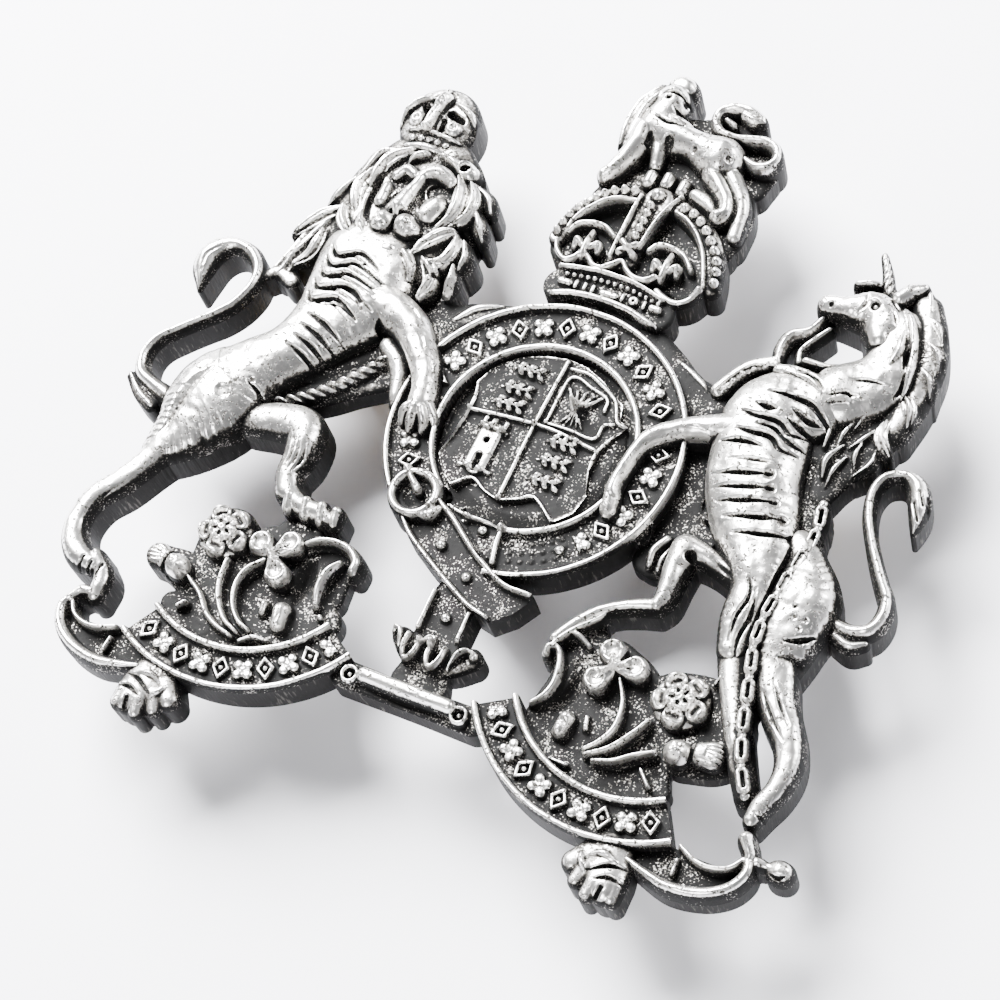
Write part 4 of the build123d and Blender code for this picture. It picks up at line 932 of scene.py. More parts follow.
@dataclass(frozen=True)
class Belt:
    """The round buckled belt, its strap and hanging end, and the quartered shield in its field."""

    outer: float = 10.12
    inner: float = 6.62
    ground: float = 2.3
    rim: float = 0.62
    rim_width: float = 0.42
    motif: float = 0.42
    opens: float = -84.0
    closes: float = 232.0

    def _bands(self, r: Relief, inside: np.ndarray, outer_gap: np.ndarray, inner_gap: np.ndarray) -> None:
        """Lays the ground and its two raised borders, which are rounded ridges rim_width wide.

        Args:
            r: the relief to draw on.
            inside: how far each grid point lies inside the band, in mm.
            outer_gap: its distance from the outer edge.
            inner_gap: its distance from the inner edge.
        """
        top = np.full_like(inside, self.ground)
        for gap in (outer_gap, inner_gap):
            u = (gap - 0.5 * self.rim_width) / (0.5 * self.rim_width)
            top = top + self.rim * np.sqrt(np.clip(1 - u**4, 0, 1))
        r.plate(inside, top)

    def ring(self) -> Relief:
        """The round part of the belt with its running ornament and the studs near its end."""
        r = Relief(self.ground, ground=self.ground)
        x, y = np.meshgrid(XS, YS)
        radius = np.hypot(x, y)
        degrees = (np.degrees(np.arctan2(y, x)) + 90 + 360) % 360 - 90
        ends = np.minimum(degrees - self.opens, self.closes - degrees) * math.pi / 180 * radius
        self._bands(r, np.minimum.reduce([self.outer - radius, radius - self.inner, ends]),
                    self.outer - radius, radius - self.inner)
        middle = 0.5 * (self.outer + self.inner)
        reach = (degrees > -46) & (degrees < 214)
        r.height += np.where(reach,
                             self.motif * ornament(np.radians(degrees) * middle, radius - middle, 1.62), 0)
        r.bead(5.0, -6.75, 0.34, 0.45)
        r.ridge([(1.0, -6.3), (0.95, -7.6), (1.3, -9.1)], 0.45, 0.6, taper=False)
        for angle in range(-76, -50, 5):
            for reach_out in (7.6, 8.2, 8.8):
                r.bead(reach_out * math.cos(math.radians(angle)), reach_out * math.sin(math.radians(angle)),
                       0.2, 0.1)
        return r

    def strap(self) -> Relief:
        """The strap that comes through the buckle and runs down to the right, with its inner end above it."""
        r = Relief(self.ground, ground=self.ground)
        outline: Points = [
            (-6.9, -6.2), (-5.3, -5.2), (-3.6, -6.3), (-2.0, -7.3), (-0.3, -8.6), (1.2, -9.6), (3.0, -10.2),
            (4.9, -10.3), (4.0, -11.8),
            (2.8, -12.9), (1.0, -12.5), (-1.0, -11.5), (-3.0, -10.4), (-4.8, -9.3), (-6.3, -7.9),
        ]
        r.plate(polygon_inside(outline), self.ground)
        r.limb([(-3.6, -6.9, 0.7, 2.15), (-1.4, -7.3, 0.9, 2.15), (0.6, -7.8, 1.1, 2.15),
                (1.8, -8.8, 1.0, 2.15)], round_=9)
        r.ridge([(-3.8, -6.4), (-2.3, -7.3), (-0.5, -8.6), (1.0, -9.5), (2.8, -10.3), (4.7, -10.4)], 0.45,
                0.8, taper=False)
        r.ridge([(-5.6, -8.3), (-4.6, -9.2), (-3, -10.2), (-1, -11.3), (1, -12.3), (2.6, -12.75)], 0.45, 0.7,
                taper=False)
        r.ridge([(-3.5, -6.2), (-1.9, -6.6), (-0.6, -6.6), (0.6, -6.6)], 0.34, 0.6)
        r.bead(-1.7, -6.8, 0.36, 0.3)
        for x, y in ((-2.4, -9.1), (0.15, -10.6), (-0.35, -7.2)):
            r.bead(x, y, 0.36, 0.55)
        return r

    def strap_end(self) -> Relief:
        """The short hanging length of strap between its two borders."""
        r = Relief(self.ground, ground=self.ground)
        r.limb([(0.1, -12.0, 1.55, 2.2), (0.15, -15.2, 1.6, 2.2)], round_=9)
        r.ridge([(-1.3, -12.2), (-1.25, -14.8)], 0.4, 0.7, taper=False)
        r.ridge([(1.5, -12.9), (1.6, -14.8)], 0.4, 0.7, taper=False)
        r.bead(0.12, -13.6, 0.36, 0.5)
        return r

    def strap_tip(self) -> Relief:
        """The metal tip: four looped leaves between two curled ones."""
        r = Relief(1.7, (-0.15, 0.15))
        r.limb([(-2.0, -15.7, 0.7, 2.2), (-0.9, -16.3, 1.0, 2.2), (0.3, -16.5, 1.1, 2.2),
                (1.7, -16.3, 1.0, 2.2), (2.9, -15.6, 0.8, 2.2)], round_=4)
        r.limb([(0.2, -16.4, 1.4, 2.1), (0.3, -18.0, 1.9, 1.9)], round_=4)
        r.shift = (0.0, 0.0)
        for x in (-1.0, 0.75):
            r.ridge([(x - 0.5, -15.5), (x - 0.52, -16.4), (x - 0.25, -17.0), (x + 0.1, -17.0),
                     (x + 0.38, -16.4), (x + 0.4, -15.6)], 0.4, 0.9, taper=False)
        r.ridge([(-0.45, -15.8), (-0.25, -15.15), (0.15, -15.15), (0.3, -15.8)], 0.36, 0.8, taper=False)
        r.ridge([(-1.8, -16.8), (-2.0, -15.9), (-2.3, -15.3), (-2.8, -15.3)], 0.42, 0.8)
        r.ridge([(1.7, -16.7), (1.95, -15.8), (2.4, -15.2), (3.0, -15.2)], 0.42, 0.8)
        r.bead(3.0, -15.35, 0.34, 0.5)
        r.bead(-2.7, -15.45, 0.3, 0.45)
        return r

    def buckle(self) -> Relief:
        """The round buckle with the small tab at its lower right."""
        r = Relief(2.5, ground=2.3)
        r.limb([(-5.6, -6.5, 1.4, 2.3), (-5.59, -6.5, 1.4, 2.3)], round_=9, edge=2.25)
        ring: Points = [(-5.6 + 1.5 * math.cos(t), -6.5 + 1.5 * math.sin(t), 0.34, 3.4)
                        for t in np.linspace(0, 2 * math.pi, 13)]
        r.limb(ring)
        r.limb([(-4.5, -7.7, 0.35, 3.2), (-3.9, -7.5, 0.4, 3.3), (-3.6, -6.9, 0.3, 3.1)])
        return r

    def tongue(self) -> Relief:
        """The buckle's tongue, with a knob at each end."""
        r = Relief(2.6)
        r.limb([(-6.7, -5.1, 0.36, 3.7), (-6.2, -5.6, 0.26, 3.6), (-5.5, -6.2, 0.34, 3.7)])
        r.bead(-5.5, -6.2, 0.1, -0.3)
        return r

    def field(self) -> Relief:
        """The sunk ground round the shield, which dips to a groove just inside the belt."""
        r = Relief(1.6, ground=2.1)
        x, y = np.meshgrid(XS, YS)
        r.plate(self.inner + 0.1 - np.hypot(x, y), 2.0 - 0.35 * np.clip((np.hypot(x, y) - 5.4) / 1.0, 0, 1))
        r.ridge([(-5.7, 3.2), (-6.3, 1.6), (-6.3, -0.6), (-6.1, -2.2)], 0.3, 0.3)
        r.ridge([(5.2, 3.2), (6.0, 1.0), (6.0, -1.2), (5.4, -3.2)], 0.3, -0.3)
        return r

    def shield(self) -> Relief:
        """The quartered shield: leafy sprigs in two quarters, a wheat sheaf in a double border, and a
        tower.
        """
        r = Relief(2.2, ground=2.3)
        outline: Points = [
            (-0.4, 6.3), (1.0, 6.1), (2.4, 5.5), (3.4, 4.9), (4.4, 4.3), (4.7, 3.2), (5.4, 2.9), (4.9, 2.0),
            (4.4, 0.6), (4.4, -1.0),
            (4.9, -2.6), (4.6, -4.0), (3.5, -5.1), (2.6, -4.4), (1.8, -3.9), (0.8, -4.4), (-0.4, -4.9),
            (-1.5, -4.6), (-2.7, -4.0),
            (-3.8, -4.9), (-4.8, -4.2), (-5.7, -3.0), (-5.3, -1.4), (-5.1, 0.2), (-5.2, 1.6), (-5.6, 2.7),
            (-5.0, 4.2), (-3.6, 5.4),
            (-2.0, 6.0),
        ]
        r.plate(polygon_inside(outline), 2.25)
        r.ridge([(-0.3, 6.0), (-0.45, 1.0), (-0.4, -4.7)], 0.34, 0.42, taper=False)
        r.ridge([(-5.1, 0.6), (-2.5, 0.85), (0.5, 1.0), (4.1, 0.55)], 0.34, 0.42, taper=False)
        r.ridge([(-5.45, 2.5), (-5.15, 1.4), (-5.15, 0.0), (-5.4, -1.5), (-5.7, -2.8)], 0.3, 0.4)
        r.ridge([(4.8, 2.0), (4.3, 0.5), (4.4, -1.0), (4.9, -2.4)], 0.3, 0.35)
        r.ridge([(-3.8, -4.8), (-2.7, -3.95), (-1.5, -4.55), (-0.4, -4.8), (0.8, -4.35), (1.8, -3.85),
                 (3.5, -5.0)], 0.26, 0.3, taper=False)
        r.ridge([(0.1, 5.6), (1.4, 5.6), (2.6, 5.1), (3.7, 4.5), (4.1, 4.0), (4.6, 3.0), (5.2, 2.8)], 0.26,
                0.34, taper=False)
        r.ridge([(0.2, 1.35), (0.2, 3.2), (0.3, 4.8), (0.9, 5.1), (2.0, 4.7), (3.3, 4.3), (3.5, 3.4)], 0.26,
                0.34, taper=False)
        r.ridge([(0.2, 1.35), (2.0, 1.35), (3.7, 1.3), (3.9, 2.4), (4.5, 2.7)], 0.26, 0.34, taper=False)
        for x, y in ((-2.5, 4.5), (-2.7, 3.0), (-2.8, 1.75), (1.9, 0.25), (1.9, -1.15), (1.9, -2.65)):
            self._sprig(r, x, y)
        self._sheaf(r, 1.8, 2.9)
        self._tower(r, -2.9, -1.4)
        return r

    def _sprig(self, r: Relief, x: float, y: float) -> None:
        """A small lying sprig with five leaves, centred on x, y."""
        r.ridge([(x - 1.2, y - 0.1), (x, y), (x + 1.2, y + 0.1)], 0.3, 0.5)
        for k in (-0.8, -0.1, 0.6):
            r.ridge([(x + k, y), (x + k + 0.25, y + 0.28), (x + k + 0.55, y + 0.46)], 0.46, 0.55)
            r.ridge([(x + k, y), (x + k + 0.3, y - 0.26), (x + k + 0.6, y - 0.42)], 0.44, 0.5)

    def _sheaf(self, r: Relief, x: float, y: float) -> None:
        """A sheaf of wheat tied at its waist, centred on x, y."""
        for lean in (-0.9, -0.45, 0.0, 0.45, 0.9):
            r.ridge([(x - lean * 0.9, y - 1.2), (x, y - 0.2), (x + lean * 0.8, y + 0.7),
                     (x + lean * 1.3, y + 1.3)], 0.36, 0.5)
            r.bead(x + lean * 1.3, y + 1.25, 0.2, 0.2)
        r.ridge([(x - 0.45, y - 0.25), (x + 0.45, y - 0.25)], 0.3, 0.25, taper=False)

    def _tower(self, r: Relief, x: float, y: float) -> None:
        """Draws a small round tower with three battlements and a door.

        Args:
            r: the relief to draw on.
            x: its centre.
            y: its centre.
        """
        r.ridge([(x, y - 1.5), (x, y + 0.9)], 1.7, 0.42, taper=False, round_=6)
        for k in (-0.75, 0.0, 0.75):
            r.ridge([(x + k, y + 1.2), (x + k, y + 1.75)], 0.42, 0.42, taper=False)
        r.ridge([(x - 1.0, y + 1.1), (x + 1.0, y + 1.1)], 0.3, 0.3, taper=False)
        r.ridge([(x, y - 1.9), (x, y - 1.0)], 0.6, -0.6, taper=False)
        r.bead(x, y + 0.2, 0.22, -0.4)
        r.ridge([(x - 1.1, y - 1.9), (x + 1.1, y - 1.9)], 0.34, 0.3, taper=False)

    def webs(self) -> list[tuple[str, Relief, tuple[str, ...]]]:
        """The plain webs that tie the belt to the figures beside it."""
        left = Relief(1.3, ground=2.0)
        left.limb([(-11.4, 8.0, 1.1, 2.0), (-9.9, 6.6, 1.4, 2.1), (-8.0, 7.4, 1.2, 2.2),
                   (-6.0, 8.3, 0.8, 2.1)], round_=3)
        left.limb([(-10.0, 5.6, 0.8, 2.0), (-9.1, 4.8, 0.8, 2.0)], round_=3)
        left.ridge([(-9.3, 6.5), (-8.0, 7.9), (-6.4, 8.7)], 0.6, 0.3)
        upper = Relief(1.3, ground=2.0)
        upper.limb([(3.9, 9.3, 1.5, 2.0), (5.8, 8.4, 1.3, 2.1), (7.8, 7.2, 1.2, 2.1), (9.4, 6.4, 1.6, 2.1),
                    (10.2, 6.2, 1.2, 2.2)], round_=3)
        upper.limb([(10.4, 7.2, 1.0, 2.0), (11.6, 8.3, 1.0, 2.0), (12.3, 9.0, 0.8, 2.0)], round_=3)
        upper.ridge([(6.4, 8.7), (8.2, 8.0), (9.2, 7.2)], 0.6, 0.25)
        right = Relief(1.0, ground=1.6)
        right.limb([(10.2, 3.0, 1.1, 1.4), (10.8, 0.0, 1.3, 1.4), (11.3, -2.6, 1.6, 1.4),
                    (11.1, -4.4, 1.5, 1.4), (10.2, -4.8, 1.1, 1.3)], round_=6)
        right.limb([(13.0, -2.4, 1.3, 1.4), (11.8, -3.4, 1.3, 1.4)], round_=6)
        right.limb([(11.0, -3.4, 0.4, 2.2), (10.5, -4.4, 0.4, 2.2), (10.6, -5.4, 0.3, 2.0)])
        right.limb([(11.6, -4.0, 0.35, 2.3), (11.3, -4.8, 0.35, 2.2), (11.3, -5.6, 0.25, 2.0)])
        return [
            ("web_upper_left", left, ("web_upper_left",)),
            ("web_upper_right", upper, ("web_upper_right",)),
            ("web_right", right, ("web_right",)),
        ]

    def pieces(self) -> list[tuple[str, Relief, tuple[str, ...]]]:
        """Each piece's name, its relief and the solids that it stands for."""
        return [
            ("belt_ring", self.ring(), ("belt_ring",)),
            ("belt_strap", self.strap(), ("belt_strap",)),
            ("belt_buckle", self.buckle(), ("belt_buckle",)),
            ("buckle_tongue", self.tongue(), ("buckle_tongue",)),
            ("belt_field", self.field(), ("belt_field",)),
            ("shield", self.shield(), ("shield",)),
            ("strap_end", self.strap_end(), ("strap_end",)),
            ("strap_tip", self.strap_tip(), ("strap_tip",)),
            *self.webs(),
        ]


@dataclass(frozen=True)
class Crown:
    """The crown over the belt: jewelled circlet, fleurons, pearled arches and the sunk lining between
    them.
    """

    def circlet(self) -> Relief:
        """The circlet with its jewels, and the wavy line and fleurons that rise from it."""
        r = Relief(2.1, (-0.1, 0.1), ground=2.4)
        r.limb([(-3.3, 11.3, 1.3, 2.4), (-1.2, 11.75, 1.35, 2.4), (1.2, 11.75, 1.35, 2.4),
                (3.8, 11.2, 1.2, 2.4)], round_=8)
        r.shift = (0.0, 0.0)
        r.ridge([(-3.4, 10.3), (-2.0, 10.75), (0.0, 10.9), (2.0, 10.7), (3.9, 10.15)], 0.62, 0.75,
                taper=False)
        r.ridge([(-3.9, 12.5), (-2.0, 12.8), (0.0, 12.9), (2.0, 12.7), (3.8, 12.2)], 0.34, 0.75, taper=False)
        r.beads([(-3.2, 12.1), (-1.0, 12.35), (1.4, 12.3), (3.6, 11.9)], 0.2, 0.45, 0.5)
        for x, wide in ((-3.05, 0.62), (0.2, 0.95), (3.6, 0.5)):
            r.ridge([(x - wide / 2, 11.45), (x + wide / 2, 11.45)], 0.5, 0.55, taper=False, round_=4)
        for x in (-2.3, -1.65, -1.05, 1.15, 2.75):
            r.ridge([(x, 11.3), (x, 11.75)], 0.3, 0.45, taper=False)
        r.bead(1.95, 11.55, 0.4, 0.55)
        r.bead(1.95, 11.55, 0.16, -0.4)
        r.limb(
            [(-5.0, 14.2, 0.2, 3.0), (-4.6, 13.5, 0.24, 3.1), (-3.9, 13.0, 0.26, 3.1),
             (-3.3, 13.3, 0.24, 3.1), (-2.9, 13.9, 0.22, 3.1),
             (-2.4, 13.7, 0.24, 3.1), (-1.8, 13.2, 0.26, 3.1), (-1.1, 13.2, 0.26, 3.1),
             (-0.5, 13.7, 0.24, 3.1), (0.0, 14.1, 0.22, 3.1),
             (0.5, 13.6, 0.24, 3.1), (1.2, 13.2, 0.26, 3.1), (2.0, 13.2, 0.26, 3.1), (2.6, 13.7, 0.22, 3.1)],
        )
        r.limb([(3.0, 12.9, 0.3, 2.7), (3.6, 12.6, 0.3, 2.7), (4.6, 12.4, 0.3, 2.7), (5.4, 12.9, 0.3, 2.8),
                (5.8, 13.7, 0.35, 3.2)])
        for x in (-2.85, 3.0):
            r.limb([(x, 13.6, 0.26, 3.2), (x + 0.02, 14.6, 0.3, 3.4), (x, 15.6, 0.22, 3.1)])
            r.limb([(x - 0.1, 14.2, 0.2, 3.1), (x - 0.75, 14.7, 0.36, 3.3), (x - 0.85, 14.2, 0.24, 3.0)])
            r.limb([(x + 0.1, 14.2, 0.2, 3.1), (x + 0.75, 14.75, 0.36, 3.3), (x + 0.85, 14.25, 0.24, 3.0)])
        for dx, dy in ((-0.55, 0.45), (0.45, 0.5), (-0.5, -0.35), (0.5, -0.3)):
            r.limb([(0.0, 15.0, 0.25, 3.4), (dx, 15.0 + dy, 0.36, 3.3)])
        r.bead(0.0, 15.0, 0.24, 0.2)
        return r

    def arches(self) -> Relief:
        """The three arches, each a bright border beside a row of pearls."""
        r = Relief(2.0, (-0.1, 0.1))
        r.limb([(-5.2, 14.6, 0.6, 2.6), (-4.9, 16.0, 0.65, 2.7), (-4.2, 17.4, 0.7, 2.8),
                (-2.9, 18.5, 0.75, 2.9), (-1.2, 19.1, 0.75, 2.9)], round_=4)
        r.limb([(6.4, 14.2, 0.75, 2.6), (6.0, 15.6, 0.8, 2.7), (5.3, 17.0, 0.85, 2.8), (4.0, 18.2, 0.85, 2.9),
                (2.2, 19.1, 0.75, 2.9)], round_=4)
        r.limb([(-0.1, 14.4, 1.0, 2.6), (0.0, 17.0, 1.05, 2.7), (0.4, 19.3, 1.2, 2.9)], round_=5)
        r.shift = (0.05, -0.05)
        r.limb([(-1.0, 14.2, 0.17, 3.2), (-1.0, 17.0, 0.2, 3.3), (-0.9, 19.3, 0.2, 3.3)])
        r.limb([(0.6, 15.6, 0.17, 3.2), (0.8, 17.0, 0.2, 3.3), (1.15, 18.5, 0.2, 3.4), (1.8, 20.0, 0.2, 3.3)])
        r.limb([(-4.75, 15.1, 0.17, 3.1), (-4.6, 16.0, 0.2, 3.2), (-4.0, 17.1, 0.22, 3.3),
                (-3.2, 17.9, 0.22, 3.4), (-2.2, 18.5, 0.2, 3.4), (-1.0, 18.75, 0.18, 3.3)])
        r.limb([(5.9, 14.0, 0.17, 3.1), (5.4, 15.3, 0.2, 3.2), (4.8, 16.5, 0.22, 3.3), (4.0, 17.5, 0.24, 3.4),
                (3.0, 18.3, 0.24, 3.4), (1.9, 18.75, 0.2, 3.3)])
        for points, size, pitch in (
            ([(-5.35, 15.0), (-5.1, 15.9), (-4.75, 16.8), (-4.1, 17.7), (-3.3, 18.5), (-2.4, 19.1),
              (-1.4, 19.4)], 0.3, 0.68),
            ([(2.4, 19.15), (3.3, 18.85), (4.4, 18.05), (5.1, 17.3), (5.7, 16.6), (6.2, 15.7), (6.5, 14.5)],
             0.37, 0.82),
            ([(0.0, 16.2), (0.05, 17.4), (0.05, 18.65)], 0.33, 0.62),
        ):
            r.beads(points, size, 0.75, pitch)
        r.bead(0.2, 19.6, 0.5, 0.7)
        return r

    def cap(self) -> Relief:
        """The sunk lining, with the puffed arcs over the fleurons, and the mound that the crest stands on."""
        r = Relief(1.6, (-0.3, 0.3), ground=2.0)
        r.limb([(0.2, 15.2, 4.6, 1.8), (0.4, 17.2, 4.3, 1.8)], round_=9)
        r.limb([(-3.9, 14.4, 1.6, 1.9), (5.0, 14.4, 1.8, 1.9)], round_=9)
        r.limb([(-4.0, 15.6, 1.3, 1.9), (-3.3, 17.4, 1.3, 1.9), (-2.3, 19.2, 1.8, 2.0), (0.3, 20.0, 1.6, 2.0),
                (3.4, 19.2, 2.2, 2.0), (5.0, 17.4, 1.8, 1.9)], round_=6)
        r.limb([(-2.4, 19.6, 1.4, 2.0), (-1.8, 21.6, 1.4, 1.9), (0.8, 21.8, 1.6, 1.9), (4.2, 21.2, 1.8, 2.0),
                (5.6, 20.2, 1.4, 2.1), (5.8, 18.2, 1.3, 2.0)], round_=6)
        r.limb([(0.8, 21.8, 1.6, 1.8), (1.0, 24.2, 1.4, 1.8), (4.4, 24.6, 1.4, 1.8), (5.8, 24.4, 1.4, 1.8),
                (5.8, 22.6, 1.2, 1.9)], round_=6)
        r.limb([(-0.4, 25.2, 1.2, 2.1), (1.0, 25.6, 1.2, 2.0), (2.4, 26.6, 0.8, 2.0), (3.8, 26.6, 0.8, 2.0)],
               round_=4)
        r.shift = (-0.1, 0.1)
        for points in (
            [(-4.5, 15.0, 0.22, 2.9), (-4.1, 15.8, 0.3, 3.0), (-3.2, 16.2, 0.32, 3.0), (-2.2, 16.2, 0.3, 3.0),
             (-1.3, 15.7, 0.26, 2.9)],
            [(1.4, 15.4, 0.28, 2.9), (1.9, 16.0, 0.3, 3.0), (2.9, 16.05, 0.32, 3.0), (3.9, 15.7, 0.3, 3.0),
             (4.7, 14.9, 0.26, 2.9)],
        ):
            r.limb(points)
        r.limb([(-3.7, 14.7, 0.3, 2.5), (-3.5, 14.1, 0.3, 2.5)])
        for x, y in ((-0.9, 20.7), (0.35, 20.9), (1.6, 20.7)):
            r.limb([(x, y - 0.3, 0.62, 3.1), (x, y + 0.3, 0.6, 3.1)], blend=0.0)
        r.limb([(2.6, 20.5, 0.7, 3.0), (3.6, 20.2, 0.8, 3.0), (4.5, 19.5, 0.5, 2.8)])
        return r

    def crest_lion(self) -> Relief:
        """The small crowned lion that stands on the crown."""
        r = Relief(2.2, (-0.3, 0.3))
        r.limb([(-1.6, 27.9, 1.05, 3.7), (-1.2, 27.8, 1.05, 3.7)], round_=2.4, blend=0.0)
        r.limb([(-1.5, 26.6, 1.3, 4.3), (-1.6, 25.7, 1.35, 4.2), (-1.9, 24.8, 1.4, 4.1)], round_=2.4)
        r.limb([(-2.4, 26.9, 1.1, 3.8), (-3.0, 25.6, 1.3, 3.9), (-3.2, 24.0, 1.2, 3.8),
                (-3.3, 22.6, 0.8, 3.5)], strands=3, depth=0.3)
        r.limb([(-1.8, 24.5, 1.45, 4.1), (-0.5, 24.1, 1.35, 4.2), (1.3, 23.8, 1.15, 4.1),
                (3.4, 23.3, 1.75, 4.5)], round_=2.3)
        r.limb([(-2.5, 23.8, 1.1, 4.1), (-2.6, 22.4, 0.85, 4.0), (-3.0, 21.2, 0.75, 3.8),
                (-3.4, 20.3, 0.7, 3.6), (-3.8, 19.8, 0.6, 3.4)])
        r.limb([(-1.2, 23.4, 0.75, 3.5), (-0.9, 22.4, 0.6, 3.3), (-0.8, 21.7, 0.5, 3.0)])
        r.limb([(3.3, 22.9, 1.15, 4.1), (3.4, 22.0, 0.85, 3.9), (4.2, 21.2, 0.75, 3.8),
                (5.1, 20.3, 0.65, 3.8), (5.4, 19.4, 0.6, 3.7), (5.0, 18.9, 0.62, 3.7)])
        r.limb([(4.3, 22.6, 0.85, 3.5), (5.4, 21.5, 0.7, 3.4), (6.2, 20.4, 0.6, 3.2), (6.4, 19.4, 0.6, 3.0),
                (6.5, 18.2, 0.55, 2.8)])
        r.shift = (0.3, -0.3)
        r.ridge([(-2.9, 27.1), (-1.8, 27.3), (-0.6, 27.0)], 0.4, -0.9)
        r.ridge([(-1.7, 26.4), (-1.2, 26.1), (-0.6, 26.2)], 0.4, -0.5)
        r.ridge([(-1.5, 25.6), (-0.7, 25.3), (0.0, 25.6)], 0.7, 0.5)
        r.ridge([(-2.7, 25.3), (-1.5, 24.95), (-0.2, 25.0)], 0.35, -0.6)
        r.bead(-2.2, 26.8, 0.22, -0.4)
        r.bead(-1.1, 26.9, 0.2, -0.4)
        r.bead(-0.9, 23.8, 0.4, -0.5)
        r.bead(1.1, 23.6, 0.25, -0.3)
        r.bead(3.7, 23.5, 0.28, -0.35)
        r.ridge([(5.2, 20.8), (5.5, 20.2), (5.5, 19.6)], 0.15, -0.3)
        r.ridge([(-2.4, 24.0), (-2.5, 23.2)], 0.3, -0.3)
        return r

    def crest_tail(self) -> Relief:
        """The small lion's tail, in two opposed hooks."""
        r = Relief(2.2, (-0.2, 0.2))
        r.limb(
            [(4.8, 23.9, 0.4, 3.2), (5.8, 23.6, 0.42, 3.3), (6.6, 23.9, 0.42, 3.4), (6.9, 24.6, 0.42, 3.4),
             (6.5, 25.4, 0.42, 3.4),
             (5.6, 25.7, 0.4, 3.4), (4.6, 25.5, 0.38, 3.4), (3.5, 25.3, 0.38, 3.4), (2.4, 25.5, 0.4, 3.4),
             (1.7, 26.2, 0.42, 3.4),
             (1.8, 27.1, 0.45, 3.4), (2.7, 27.6, 0.48, 3.5), (3.8, 27.6, 0.5, 3.5), (4.7, 27.3, 0.4, 3.3)],
        )
        r.limb([(3.4, 27.2, 0.3, 3.4), (4.2, 27.0, 0.42, 3.4), (4.9, 27.1, 0.25, 3.2)])
        r.limb([(2.3, 26.7, 0.3, 2.9), (2.9, 26.5, 0.3, 2.8)])
        return r

    def pieces(self) -> list[tuple[str, Relief, tuple[str, ...]]]:
        """Each piece's name, its relief and the solids that it stands for."""
        return [
            ("crown_circlet", self.circlet(), ("crown_circlet",)),
            ("crown_arches", self.arches(), ("crown_arches",)),
            ("crown_cap", self.cap(), ("crown_cap",)),
            ("crest_lion", self.crest_lion(), ("crest_lion",)),
            ("crest_tail", self.crest_tail(), ("crest_tail",)),
        ]


